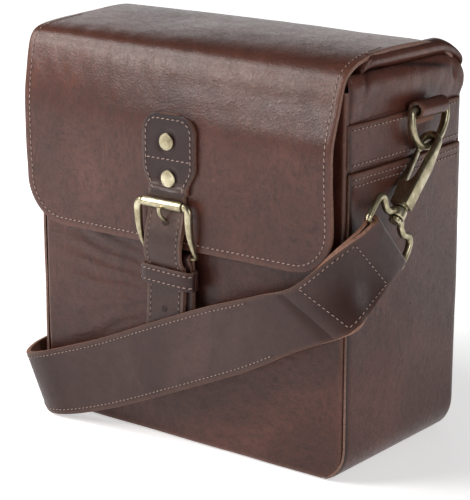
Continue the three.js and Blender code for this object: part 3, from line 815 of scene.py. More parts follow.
def flap_leather():
    def place(u, v):
        s = SEAM_AT * v
        narrow = flap_half(s * FACE_LENGTH, FLAP_CORNER)
        x = FLAP_LEFT + narrow + (FLAP_RIGHT - FLAP_LEFT - 2 * narrow) * u
        return face_point(x, s)[0]

    def wear_and_shade(u, v):
        run = SEAM_AT * v * FACE_LENGTH
        rim = min(min(u, 1 - u) * WIDE, run)
        fold = near(run, 104, 14) * 0.35
        # rims lighter where rubbed; the fold band lighter, partly as a rubbed crease and partly as painted sheen; the
        # lid lighter towards the right is painted sheen
        return min(1, 0.5 * near(rim, 0.5, 1.8) + fold + 0.22 * near(run, 172, 40) * u)

    piece = sheet_grid("flap_leather", 90, 150, place, (HIDE, RAW_EDGE, FLESH), wear_and_shade)
    flip_if_needed(piece, Vector((0, 0, 1)))
    thicken(piece, 2.3, round_over=0.6, back_slot=2, rim_slot=1)
    finish_piece(piece, FOLD_BLEND, ["flap_front", "flap_top"])

    inset = 4.0
    radius = FLAP_CORNER - inset
    side_runs = np.linspace(share_at(-20, 228.5), FLAP_CORNER / FACE_LENGTH, 60)
    left, right = FLAP_LEFT + inset, FLAP_RIGHT - inset
    around = [(radius * (1 - math.cos(turn)), FLAP_CORNER - radius * math.sin(turn))
              for turn in (math.pi / 2 * i / 13 for i in range(14))]
    spots = [(right, s) for s in side_runs]
    spots += [(right - off, run / FACE_LENGTH) for off, run in around[1:]]
    spots += [(x, inset / FACE_LENGTH)
              for x in np.linspace(FLAP_RIGHT - FLAP_CORNER - 4, FLAP_LEFT + FLAP_CORNER + 4, 60)]
    spots += [(left + off, run / FACE_LENGTH) for off, run in around[:0:-1]]
    spots += [(left, s) for s in side_runs[::-1]]
    line, out = zip(*(face_point(x, s) for x, s in spots))
    stitches("stitch_flap", [tuple(p) for p in line], [tuple(p) for p in out], FOLD_BLEND)


def back_leather():
    def place(u, v):
        s = SEAM_AT + (1 - SEAM_AT) * v
        low = face_point(0, s)[0].z
        on_wall = min(max((212 - low) / 10, 0), 1)
        half = outline_half(low, CORNER)
        left = FLAP_LEFT * (1 - on_wall) - half * on_wall
        right = FLAP_RIGHT * (1 - on_wall) + half * on_wall
        if low < CORNER:
            left, right = -half, half
        x = left + (right - left) * u
        point, normal = face_point(x, s)
        rim = min(x - left, right - x)
        curl = on_wall * turned(rim) + (turned(low) if low < 20 else 0)
        point = point - normal * curl
        point.z = max(point.z, 0.0)
        return point

    piece = sheet_grid("back_leather", 60, 120, place, (HIDE, RAW_EDGE, HIDE),
                       lambda u, v: 0.6 * near(min(u, 1 - u) * WIDE, 1, 3) + 0.4 * near(v, 0.12, 0.07))
    flip_if_needed(piece, Vector((0, 1, 0)))
    thicken(piece, 2.4, round_over=0, back_slot=2, rim_slot=0)
    finish_piece(piece, LID_BLEND, ["back_panel"])


# ------------------------------------------------------------------ ears
EAR_LOW, EAR_FRONT, EAR_BACK = 188.0, -53.0, 56.0


def ear_section(y):
    """The wall going up, rolling over, and the ear's roll folded in under the flap, as (x, z)."""
    roll = ease(y, -48, -33)
    wall = [(-1.3, EAR_LOW), (0.9, 197), (1.9, 205), (1.9, 211.0), (0.7, 215.0), (-1.4, 217.6), (-3.3, 216.8)]
    ear = [(-2.2, 218.6), (0.3, 220.6), (0.7, 223.6), (-1.4, 226.0), (-5.4, 226.6), (-13, 223.6), (-22, 220.4),
           (-34, 218.6), (-46, 217.6)]
    inside = [(-4.4, 213.6), (-5.0, 211.6), (-5.3, 209.8), (-5.4, 208), (-5.5, 206.5), (-5.6, 205), (-5.7, 203.5),
              (-5.8, 202), (-5.8, 200)]
    swell = 1 - 0.25 * ease(y, 30, 52)
    reach = max(0.5 * (54 - y) / 40, 0.12)
    points = list(wall)
    for (a, z), (b, w) in zip(ear, inside):
        a = a if a > -7 else -7 + (a + 7) * min(reach, 1)
        z = 216.6 + (z - 216.6) * swell
        points.append((b + (a - b) * roll, w + (z - w) * roll))
    return points


def ear_leather(name, side):
    steps_y, steps_v = 110, 72
    sections = []
    for i in range(steps_y + 1):
        y = EAR_FRONT + (EAR_BACK - EAR_FRONT) * i / steps_y
        sections.append(smooth_path(ear_section(y), steps_v))

    def place(u, v):
        i, k = int(round(u * steps_y)), int(round(v * steps_v))
        y = EAR_FRONT + (EAR_BACK - EAR_FRONT) * u
        a, z = sections[i][k]
        back = min(max((y - 30) / 26, 0), 1)
        drop = 12 * (1 - (1 - back ** 2.1) ** 0.55)
        high = ease(z, EAR_LOW, 222)
        z -= drop * high
        front_curl = turned(y - EAR_FRONT, 2.2) + turned((EAR_BACK - y) * 0.8, 2.4)
        pinch = 1.5 * near(y, 44.5, 2.6) * near(v, 0.40, 0.10)
        crease = (0.55 * near(v, 0.33, 0.22) * ripple(y, v * 40, size=9, seed=3.3)
                  * (0.4 + near(y, -40, 12) + near(y, 44, 9)))
        crumple = 0.28 * ripple(y, v * 60, a, size=14, seed=2.3) + 0.12 * ripple(y, v * 60, a, size=5, seed=5.5)
        a += crumple + crease - pinch - front_curl
        z += 0.6 * crease + 0.5 * crumple * (1 if v > 0.3 else 0) - 0.7 * pinch
        y -= 2.2 * ease(z, 205, 188) * back
        return side * (HALF + a), y, z

    # lighter on the roll's crest and the wall's shoulder where rubbed; the dark line in the crease under the roll and
    # the darker front end are painted shade
    piece = sheet_grid(f"ear_leather_{name}", steps_y, steps_v, place, (HIDE, HIDE),
                       lambda u, v: 0.3 * near(v, 0.52, 0.08) + 0.25 * near(v, 0.27, 0.05) - 0.9 * near(v, 0.385, 0.02)
                       * ease(u, 0.05, 0.2) * ease(u, 0.9, 0.75) - 0.4 * near(u * 113, 0, 1.4))
    flip_if_needed(piece, Vector((side, 0, 0.3)))
    thicken(piece, 1.7, round_over=0)
    blend = ("root", f"ear_{name}", (side * 0.1020, 0, 0.2150), (side * 0.1020, 0, 0.2195))
    finish_piece(piece, blend, [f"ear_{name}"])


# ------------------------------------------------------------------ metalwork tools
def unit(vector):
    return Vector(vector).normalized()


def bar(name, path, section, reference, closed=False, sides=14, body="root",
        replaced=(), smooth=50):
    """A cast bar: a grid rolled up round a path. section(share) gives its half width, its half
    depth along the reference, and how square its corners are (2 is round)."""
    path = [Vector(p) for p in path]
    count = len(path)

    deselect()
    bpy.ops.mesh.primitive_grid_add(x_subdivisions=sides, y_subdivisions=count - 1 + closed, size=1)
    piece = bpy.context.object
    piece.name = name
    for vertex in piece.data.vertices:
        u = vertex.co.x + 0.5
        i = round((vertex.co.y + 0.5) * (count - 1 + closed)) % count
        before = path[(i - 1) % count] if closed or i else path[0]
        after = path[(i + 1) % count] if closed or i < count - 1 else path[-1]
        along = (after - before).normalized()
        depth = (reference - along * reference.dot(along)).normalized()
        across = along.cross(depth)
        wide, deep, square = section(i / (count - 1 + closed))
        turn = 2 * math.pi * u
        c, s = math.cos(turn), math.sin(turn)
        vertex.co = (path[i] + across * wide * math.copysign(abs(c) ** (2 / square), c)
                     + depth * deep * math.copysign(abs(s) ** (2 / square), s)) * MM
    bpy.ops.object.mode_set(mode="EDIT")
    bpy.ops.mesh.select_all(action="SELECT")
    bpy.ops.mesh.remove_doubles(threshold=0.00001)
    if not closed:
        bpy.ops.mesh.select_all(action="DESELECT")
        bpy.ops.mesh.select_non_manifold()
        bpy.ops.mesh.edge_face_add()
    bpy.ops.object.mode_set(mode="OBJECT")
    close_up(piece)
    piece.data.materials.append(BRASS)
    return finish_piece(piece, body, replaced, smooth)


def round_bar(radius):
    return lambda share: (radius, radius, 2.0)


def cast_plate(name, outline, thickness, frame_matrix, bevel=0.5, waist=None,
               body="root", replaced=(), smooth=35):
    """A cast part drawn out of its outline (x, z), on both sides of its middle plane."""
    deselect()
    bpy.ops.mesh.primitive_circle_add(vertices=len(outline), radius=1, fill_type="NGON")
    piece = bpy.context.object
    piece.name = name
    for vertex, (x, z) in zip(piece.data.vertices, outline):
        vertex.co = (x, -thickness / 2, z)
    bpy.ops.object.mode_set(mode="EDIT")
    bpy.ops.mesh.select_all(action="SELECT")
    bpy.ops.mesh.extrude_region_move(TRANSFORM_OT_translate={"value": (0, thickness, 0)})
    bpy.ops.object.mode_set(mode="OBJECT")
    close_up(piece)
    if waist:
        for vertex in piece.data.vertices:
            vertex.co.y *= waist(vertex.co.x, vertex.co.z)
    piece.data.transform(Matrix.Scale(MM, 4) @ frame_matrix)
    if bevel:
        edge = piece.modifiers.new("edge", "BEVEL")
        edge.width = bevel * MM
        edge.segments = 2
        edge.limit_method = "ANGLE"
        edge.angle_limit = math.radians(35)
    apply_all(piece)
    piece.data.materials.append(BRASS)
    return finish_piece(piece, body, replaced, smooth)


def turned_part(name, profile, place, axis, material=None, body="root",
                replaced=(), sides=32, smooth=35):
    """A turned part: rings (radius, height) drawn out one after another from a first disc."""
    deselect()
    bpy.ops.mesh.primitive_circle_add(vertices=sides, radius=profile[0][0], fill_type="NGON")
    piece = bpy.context.object
    piece.name = name
    bpy.ops.object.mode_set(mode="EDIT")
    bpy.ops.mesh.select_all(action="SELECT")
    for (r0, h0), (r1, h1) in zip(profile, profile[1:]):
        bpy.ops.mesh.extrude_region_move(TRANSFORM_OT_translate={"value": (0, 0, h1 - h0)})
        bpy.ops.transform.resize(value=(r1 / r0, r1 / r0, 1), center_override=(0, 0, h1 - profile[0][1]))
    bpy.ops.object.mode_set(mode="OBJECT")
    close_up(piece)
    turn = unit(axis).to_track_quat("Z", "Y").to_matrix().to_4x4()
    lift = Matrix.Translation((0, 0, profile[0][1]))
    piece.data.transform(Matrix.Scale(MM, 4) @ Matrix.Translation(place) @ turn @ lift)
    piece.data.materials.append(material or BRASS)
    return finish_piece(piece, body, replaced, smooth)


# ------------------------------------------------------------------ buckle tab and closure
CLOSURE_X = -2.0
TAB_OUT, TAB_X = -70.3, 0.9                    # outer face and middle
TAB_CORNER, TAB_SHOULDER, TAB_HALF = 10.5, 178.5, 18.0
RIVETS = (("upper", 0, 174), ("lower", 1, 154))


def tab_half(z):
    """The tab's left and right edges at a height."""
    if z > TAB_SHOULDER:
        reach = TAB_HALF - TAB_CORNER + math.sqrt(max(TAB_CORNER ** 2 - (z - TAB_SHOULDER) ** 2, 0.0))
        return TAB_X - reach, TAB_X + reach
    narrow = ease(z, 161, 147)
    return TAB_X - TAB_HALF + 4.4 * narrow, TAB_X + TAB_HALF - 6 * narrow


def tab_depth(x, z):
    """The tab lies on the flap and dips towards the buckle, with creases above it."""
    crease = near(z, 149.5, 3.2) * (0.55 * math.sin(z * 2.3 + 0.15 * x) + 0.3 * ripple(x, z, size=4, seed=2))
    dimple = sum(0.55 * near(math.hypot(x - rx, z - rz), 5.4, 1.6) for _, rx, rz in RIVETS)
    return TAB_OUT + 0.15 * ripple(x, z, size=12, seed=6) + crease * 0.7 + dimple


def buckle_tab():
    low, high = 145.6, 189.0

    def place(u, v):
        if v > 0.7:
            z = TAB_SHOULDER + TAB_CORNER * math.sin(math.pi / 2 * (v - 0.7) / 0.3)
        else:
            z = low + (TAB_SHOULDER - low) * v / 0.7
        left, right = tab_half(min(z, high - 0.02))
        x = left + (right - left) * u
        rim = min(x - left, right - x)
        return x, tab_depth(x, z) + 0.35 * near(rim, 0, 1.0), z

    piece = sheet_grid("tab_leather", 44, 60, place, (TAB_HIDE, RAW_EDGE),
                       lambda u, v: 0.5 * near(min(u, 1 - u) * 36, 0.4, 1.0) + 0.6 * near(v, 0.08, 0.06))
    flip_if_needed(piece, Vector((0, -1, 0)))
    thicken(piece, 3.9, round_over=0.7)
    finish_piece(piece, "flap_front", ["buckle_tab"])

    line, inset = [], 2.6
    for z in np.linspace(147, TAB_SHOULDER, 16):
        line.append((tab_half(z)[0] + inset, tab_depth(-15, z) - 0.05, z))
    off, radius = TAB_HALF - TAB_CORNER, TAB_CORNER - inset
    for centre, turns in ((-off, np.linspace(math.pi, math.pi / 2, 9)), (off, np.linspace(math.pi / 2, 0, 9))):
        for turn in turns[1:]:
            x, z = TAB_X + centre + radius * math.cos(turn), TAB_SHOULDER + radius * math.sin(turn)
            line.append((x, tab_depth(x, z) - 0.05, z))
    for z in np.linspace(TAB_SHOULDER, 147, 16)[1:]:
        line.append((tab_half(z)[1] - inset, tab_depth(15, z) - 0.05, z))
    stitches("stitch_tab", line, (0, -1, 0), "flap_front")
    across = [(x, tab_depth(x, 164.5) - 0.05, 164.5) for x in np.linspace(TAB_X - 15.2, TAB_X + 15.2, 20)]
    stitches("stitch_tab_across", across, (0, -1, 0), "flap_front")

    for name, x, z in RIVETS:
        turned_part(f"rivet_{name}_cap", [(4.5, 0), (4.75, 0.25), (4.75, 0.55), (4.45, 0.95), (3.95, 1.02),
                                          (3.7, 0.92), (3.2, 1.0), (1.6, 1.12), (0.01, 1.15)],
                    (x, TAB_OUT + 0.25, z), (0, -1, 0), body="flap_front", replaced=[f"rivet_{name}"])
        turned_part(f"rivet_{name}_burr", [(3.6, 0), (3.8, 0.3), (3.4, 0.9), (1.2, 1.1), (1.0, 1.7), (0.01, 1.8)],
                    (x, -61.2, z), (0, 1, 0), body="flap_front")


def billet_x(z):
    return CLOSURE_X - 0.062 * (140 - z)


BILLET_LINE = smooth_path([
    (-66.4, 60), (-66.4, 76), (-66.6, 97), (-67.6, 103.5), (-70.2, 108.5), (-71.2, 113), (-71.0, 121),
    (-69.1, 131), (-68.7, 140), (-69.2, 147.0),
], 90)


def billet():
    low, high = 60.0, 147.0

    def place(u, v):
        y, z = BILLET_LINE[min(int(v * 90), 90)]
        if v < 0.12:
            reach = 2 + 10.6 * math.sqrt(max(1 - ((0.12 - v) / 0.12) ** 2, 0.0))
        else:
            reach = 12.6
        x = billet_x(z) + reach * (2 * u - 1)
        crimp = 0.5 * near(z, 131, 7) * ripple(x, z, size=5, seed=8) + 0.18 * ripple(x, z, size=9, seed=4)
        swell = 0.3 * math.cos(math.pi * (u - 0.5)) * near(z, 117, 12)
        return x, y + crimp - swell, z

    # edges lighter where rubbed and the whole a little lighter; the lighter band just below the roller is painted sheen
    piece = sheet_grid("billet_leather", 30, 90, place, (TAB_HIDE, RAW_EDGE, FLESH),
                       lambda u, v: 0.9 * near(min(u, 1 - u) * 25, 0.3, 0.9) + 0.8 * near(v, 0.85, 0.1) + 0.25)
    flip_if_needed(piece, Vector((0, -1, 0)))
    thicken(piece, 2.9, round_over=0.6, back_slot=2)
    finish_piece(piece, "closure", ["billet"])
    for side in (-1, 1):
        line = [(billet_x(z) + side * 9.9, y - 0.08, z) for y, z in BILLET_LINE[13:84]]
        stitches(f"stitch_billet_{'left' if side < 0 else 'right'}", line, (0, -1, 0), "closure",
                 thick=0.2, length=1.5)
    # near-black discs on the billet where its holes are: painted shade, as the sheet has no holes cut in it
    for k, z in enumerate((104, 79.6)):
        y = float(np.interp(z, BILLET_LINE[:, 1], BILLET_LINE[:, 0]))
        slope = float(np.interp(z + 1, BILLET_LINE[:, 1], BILLET_LINE[:, 0])) - y
        turned_part(f"billet_hole_{k}", [(1.9, 0), (1.95, 0.12), (1.7, 0.16), (0.01, 0.02)],
                    (billet_x(z), y - 0.05, z), (0, -1, -slope), material=HOLE_SHADE, body="closure")
    y, z = -69.6, 130.2
    turned_part("billet_hole_prong", [(2.6, 0), (2.65, 0.14), (2.3, 0.18), (0.01, 0.02)],
                (CLOSURE_X, y + 0.5, z), (0, -1, 0.28), material=HOLE_SHADE, body="closure")


def keeper():
    """A loop of leather round billet and chape."""
    middle, wide, deep = (-3.6, -64.2), 18.2, 4.9
    ring = []
    for i in range(65):
        turn = 2 * math.pi * i / 64
        c, s = math.cos(turn), math.sin(turn)
        ring.append((middle[0] + wide * math.copysign(abs(c) ** 0.42, c),
                     middle[1] + deep * math.copysign(abs(s) ** 0.62, s)))

    def place(u, v):
        k = u * 64
        i = min(int(k), 63)
        x = ring[i][0] * (1 - k + i) + ring[i + 1][0] * (k - i)
        y = ring[i][1] * (1 - k + i) + ring[i + 1][1] * (k - i)
        bulge = 0.45 * math.sin(math.pi * v)
        tilt = -0.03 * (x - middle[0])
        return x, y - bulge * (1 if y < middle[1] else -0.5), 93 + 10.4 * v + tilt

    piece = sheet_grid("keeper_leather", 64, 12, place, (TAB_HIDE, RAW_EDGE, FLESH),
                       lambda u, v: 0.6 * near(1 - v, 0, 0.12) + 0.15)
    close_up(piece, merge=0.00002)
    out = sum((Vector((p.center.x, p.center.y + 0.064, 0)).dot(p.normal)) * p.area for p in piece.data.polygons)
    if out < 0:
        flip(piece)
    thicken(piece, 1.7, round_over=0.45, back_slot=2)
    finish_piece(piece, "closure", ["keeper"])
    for label, v in (("low", 0.2), ("high", 0.8)):
        line, out = [], []
        for i in range(34, 63):
            x, y, z = place(i / 64, v)
            line.append((x, y - 0.05, z))
            out.append((0.9 * (x - middle[0]) / wide if abs(x - middle[0]) > 15 else 0, -1, 0))
        stitches(f"stitch_keeper_{label}", line, out, "closure")


def chape():
    """Leather folded round the heel bar; it carries the upper half of the snap."""
    heel_y, heel_z = -64.2, 110.4
    path = [(-63.6, 66.0), (-63.5, 80), (-63.6, 95), (-64.8, 104), (-66.2, 107.6)]
    for i in range(15):
        turn = math.radians(215 - 235 * i / 14)
        path.append((heel_y + 2.9 * math.cos(turn), heel_z + 2.9 * math.sin(turn)))
    path += [(-61.0, 106), (-60.6, 100), (-60.6, 85), (-60.6, 66)]
    line = smooth_path(path, 80)

    def place(u, v):
        y, z = line[min(int(round(v * 80)), 80)]
        return CLOSURE_X - 13.6 + 27.2 * u, y, z

    piece = sheet_grid("chape_leather", 20, 80, place, (TAB_HIDE, RAW_EDGE, FLESH),
                       lambda u, v: 0.4 * near(min(u, 1 - u) * 27, 0.3, 0.9))
    flip_if_needed(piece, Vector((0, 0, 1)))
    thicken(piece, 1.6, round_over=0.4, back_slot=2)
    finish_piece(piece, "closure", ["chape"])


def buckle():
    normal = unit((0, 1, 0.30))
    half, corner = 17.6, 3.2
    top, bow, heel = (-71.3, 140.0), (-70.2, 124.5), (-64.2, 110.4)
    leg = smooth_path([top, (-71.2, 133), bow, (-67.6, 116.5), heel], 24)

    def spot(side, k):
        return Vector((CLOSURE_X + side * half, leg[k][0], leg[k][1]))

    path = [Vector((CLOSURE_X + half * t, top[0], top[1])) for t in np.linspace(-0.8, 0.8, 9)]
    bend = [(1 - corner / half * (1 - math.sin(a)), corner * (1 - math.cos(a)))
            for a in np.linspace(0, math.pi / 2, 6)]
    right = [Vector((CLOSURE_X + half * share, top[0], top[1] - drop)) for share, drop in bend]
    right += [spot(1, k) for k in range(4, 23)]
    right += [Vector((CLOSURE_X + half - 0.5, heel[0], heel[1] + 0.4)),
              Vector((CLOSURE_X + half - 1.8, heel[0], heel[1]))]
    low = [Vector((CLOSURE_X + half * t, heel[0], heel[1])) for t in np.linspace(0.8, -0.8, 9)]
    left = [Vector((2 * CLOSURE_X - p.x, p.y, p.z)) for p in reversed(right)]
    whole = path + right + low + left

    def section(share):
        p = whole[int(round(share * len(whole))) % len(whole)]
        off = abs(p.x - CLOSURE_X)
        if off < half - corner - 0.2:
            return (1.3, 1.3, 2.0)
        down = min(max((top[1] - p.z) / (top[1] - heel[1]), 0), 1)
        grow = min(max((off - (half - corner)) / corner, 0), 1)
        wide = 2.25 - 1.3 * down ** 1.3
        deep = 1.7 + grow * (0.65 * math.sin(math.pi * min(down * 2.4, 1) / 2 + 0.2) - 1.2 * down ** 1.3)
        return (wide, max(deep, 0.95), 2.6)

    bar("buckle_frame_cast", whole, section, normal, closed=True, sides=16, body="closure",
        replaced=["buckle_frame"])
    turned_part("roller_tube", [(1.7, 0), (2.4, 0), (2.75, 0.25), (2.8, 0.6), (2.8, 26.4), (2.75, 26.75),
                                (2.4, 27), (1.7, 27)],
                (CLOSURE_X - 13.5, top[0], top[1]), (1, 0, 0), body="roller", replaced=["roller"])
    route = smooth_path([(-66.1, 112.6), (-66.3, 117), (-66.4, 124), (-67.4, 128.6), (-70.2, 131.0), (-73.0, 133.4),
                         (-74.5, 136.0), (-74.8, 138.6)], 30)
    pin = [(CLOSURE_X, y, z) for y, z in route]
    bar("prong_cast", pin, lambda s: (1.5 - 0.3 * s, 1.15 - 0.25 * s, 2.4), Vector((0, 1, 0.2)), sides=12,
        body="prong", replaced=["prong"])
    turned_part("prong_curl", [(1.6, 0), (2.7, 0), (2.9, 0.25), (2.9, 3.3), (2.7, 3.55), (1.6, 3.55)],
                (CLOSURE_X - 1.78, heel[0], heel[1]), (1, 0, 0), body="prong")


def snap():
    place = (-3, -57.7, 81)
    turned_part("snap_cap_disc", [(8.2, 0), (8.9, 0.3), (9.0, 0.9), (8.9, 2.0), (8.3, 2.4), (5, 2.5), (0.01, 2.5)],
                place, (0, -1, 0), material=STEEL, body="closure", replaced=["snap_cap"])
    turned_part("snap_stud_disc", [(8.6, 0), (9.0, 0.3), (9.0, 1.5), (8.6, 2.0), (4.6, 2.05), (4.4, 1.3), (0.01, 1.25)],
                (-3, -55.4, 81), (0, -1, 0), material=STEEL, body="root", replaced=["snap_stud"])


# ------------------------------------------------------------------ rings, hooks and loops
HUB, LOOP_BAR, LOOP_HALF = 43.0, 19.0, 22.3
RING_LEAN = math.radians(6.5)
RING_HALF, RING_DROP, RING_WIRE, RING_PULL = 16.85, 20.3, 1.9, 4.0
REACH = {"left": unit((0.065, -0.61, 0.79)), "right": unit((-0.065, 0.73, 0.681))}
SIDE = {"left": -1, "right": 1}


def hook_frame(name):
    """The hook's place: b towards the ring, a outward, c across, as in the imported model."""
    side = SIDE[name]
    ring = joint(f"d_ring_{name}_swing")[0]
    eye = ring + Vector((side * RING_DROP * math.sin(RING_LEAN), -RING_PULL, -RING_DROP * math.cos(RING_LEAN)))
    b = REACH[name]
    a = (Vector((side, 0, 0)) - b * (side * b.x)).normalized()
    c = b.cross(a)
    hub = eye - b * HUB
    matrix = Matrix.Translation(hub) @ Matrix((
        (a.x, c.x, b.x, 0), (a.y, c.y, b.y, 0), (a.z, c.z, b.z, 0), (0, 0, 0, 1)))
    return hub, a, b, c, matrix


def d_ring(name):
    side = SIDE[name]
    ring = joint(f"d_ring_{name}_swing")[0]

    def place(along, drop):
        return ring + Vector((side * drop * math.sin(RING_LEAN), along - RING_PULL * drop / RING_DROP,
                              -drop * math.cos(RING_LEAN)))

    path = [place(t * RING_HALF, 0) for t in np.linspace(-0.86, 0.86, 14)]
    path += [place(RING_HALF - 0.7, 0.35), place(RING_HALF - 0.1, 1.3)]
    path += [place(RING_HALF * math.cos(t), 3.4 + (RING_DROP - 3.4) * math.sin(t))
             for t in np.linspace(0, math.pi, 34)]
    path += [place(-RING_HALF + 0.1, 1.3), place(-RING_HALF + 0.7, 0.35)]
    outward = Vector((side * math.cos(RING_LEAN), 0, math.sin(RING_LEAN)))

    def section(share):
        off_bar = min(max((share - 0.27) / 0.06, 0), 1) * min(max((0.97 - share) / 0.06, 0), 1)
        return (RING_WIRE - 0.1 * off_bar, RING_WIRE - 0.1 + 0.3 * off_bar, 2.0 + 1.2 * off_bar)

    bar(f"d_ring_{name}_cast", path, section, outward, closed=True, sides=16, body=f"d_ring_{name}",
        replaced=[f"d_ring_{name}"])


def ring_chape(name):
    """The leather that holds the ring: rolled over its bar and tucked in behind the band."""
    side = SIDE[name]
    ring = joint(f"d_ring_{name}_swing")[0]
    x0, y0, z0 = abs(ring.x), ring.y, ring.z
    inner = [(x0 - 6.2, z0 - 9), (x0 - 6.0, z0 - 4)]
    loop = [(x0 + 4.8 * math.cos(t), z0 + 4.8 * math.sin(t)) for t in np.radians(np.linspace(172, -90, 26))]
    back = [(x0 - 3.4, z0 - 4.4), (x0 - 4.6, z0 - 6), (x0 - 5.0, z0 - 9)]
    line = smooth_path(inner + loop + back, 60)

    def place(u, v):
        x, z = line[min(int(round(v * 60)), 60)]
        half = 12.9 - 1.2 * min(max((z0 - 3 - z) / 5, 0), 1)
        return side * x, y0 + half * (2 * u - 1), z + 0.12 * ripple(u * 28, x, z, size=5, seed=side)

    piece = sheet_grid(f"ring_chape_leather_{name}", 26, 60, place, (HIDE, RAW_EDGE, FLESH),
                       lambda u, v: 0.45 * near(min(u, 1 - u) * 28, 0.4, 1.2) + 0.2 * near(v, 0.4, 0.2))
    flip_if_needed(piece, Vector((0, 0, 1)))
    thicken(piece, 1.9, round_over=0.5, back_slot=2)
    finish_piece(piece, "root", [f"ring_chape_{name}"])


def hook(name):
    hub, a, b, c, matrix = hook_frame(name)
    crown = HUB + 2.7
    outline = [(-5.4, 4), (4.8, 4), (6.5, HUB - 12), (6.6, HUB - 4)]
    outline += [(6.5 * math.cos(t), crown + 6.5 * math.sin(t)) for t in np.linspace(0, math.pi, 18)]
    outline += [(-6.4, HUB - 1.6), (-5.9, HUB - 3), (-4.2, HUB - 3), (-3.5, HUB - 1.6)]
    outline += [(3.4 * math.cos(t), crown + 3.4 * math.sin(t)) for t in np.linspace(math.pi, 0, 14)]
    outline += [(3.0, HUB - 8), (2.2, 22), (0.4, 18.5), (-5.4, 17)]

    def waist(x, z):
        if z < 30:
            return 1.0
        return 1.0 - 0.48 * min((z - 30) / 12, 1)

    cast_plate(f"hook_{name}_cast", outline, 7.8, matrix, bevel=0.75, waist=waist, body=f"hook_{name}",
               replaced=[f"hook_{name}"], smooth=28)
    turned_part(f"hook_{name}_collar", [(3.4, 0), (3.9, 0.3), (3.9, 1.2), (3.2, 1.5)], hub + b * 2.5, b,
                body=f"hook_{name}")
    gate = [(-4.6, 9.5), (-0.6, 9.5), (-1.4, 16), (-3.2, 20), (-3.6, HUB - 3.7), (-5.6, HUB - 3.7),
            (-6.4, 25), (-7.6, 20.5), (-7.4, 17)]
    cast_plate(f"gate_{name}_cast", gate, 3.0, matrix, bevel=0.4, body=f"gate_{name}", replaced=[f"gate_{name}"])
    turned_part(f"gate_{name}_pin", [(0.9, 0), (1.25, 0.15), (1.25, 7.9), (0.9, 8.05)],
                hub - a * 3 + b * 12.5 - c * 4.02, c,
                body=f"hook_{name}", replaced=[f"gate_pin_{name}"])
    turned_part(f"swivel_{name}_pin", [(2.5, -6.2), (3.2, -5.7), (3.3, -4.2), (1.9, -3.7), (1.9, 4.2)], hub, b,
                body=f"hook_{name}", replaced=[f"swivel_pin_{name}"])

    route = [(LOOP_HALF, -20.9), (LOOP_HALF, -15), (LOOP_HALF - 0.1, -9.6), (21.2, -5.2), (18.6, -3.1),
             (15.2, -3.9), (11.6, -5.4), (8.0, -4.6), (5.4, -2.0), (2.4, -0.6), (0, -0.5)]
    route = route + [(-x, z) for x, z in route[-2::-1]]
    line = smooth_path(route, 76)
    points = [hub + c * float(p[0]) + b * float(p[1]) for p in line]

    def leg(share):
        foot = min(share, 1 - share)
        blunt = min(max(foot / 0.02, 0.55), 1)
        arm = near(foot, 0.28, 0.12)
        return ((1.75 + 0.35 * arm) * blunt, (1.75 + 0.15 * arm) * blunt, 2.3)

    bar(f"swivel_loop_{name}_cast", points, leg, a, sides=14, body=f"swivel_loop_{name}",
        replaced=[f"swivel_loop_{name}"])
    rod = [hub + c * float(t) - b * LOOP_BAR for t in np.linspace(-LOOP_HALF, LOOP_HALF, 12)]
    bar(f"swivel_loop_{name}_bar", rod, round_bar(1.5), a, sides=14, body=f"swivel_loop_{name}")
    turned_part(f"swivel_loop_{name}_hub", [(2.2, -3.4), (3.9, -3.4), (4.4, -2.8), (4.5, 0.6), (4.3, 1.5),
                                            (3.6, 1.9), (2.2, 1.9)],
                hub, b, body=f"swivel_loop_{name}")


# ------------------------------------------------------------------ shoulder strap
def rungs(stations, steps):
    """The strap's rungs: top and bottom points and the face's direction, evenly along it."""
    both = [(*top, *bottom) for top, bottom in stations]
    line = smooth_path(both, steps)
    tops, bottoms = line[:, :3], line[:, 3:]
    middle = (tops + bottoms) / 2
    along = np.gradient(middle, axis=0)
    across = tops - bottoms
    face = np.cross(along, across)
    face /= np.linalg.norm(face, axis=1)[:, None]
    run = np.concatenate([[0], np.cumsum(np.linalg.norm(np.diff(middle, axis=0), axis=1))])
    return tops, bottoms, face, run


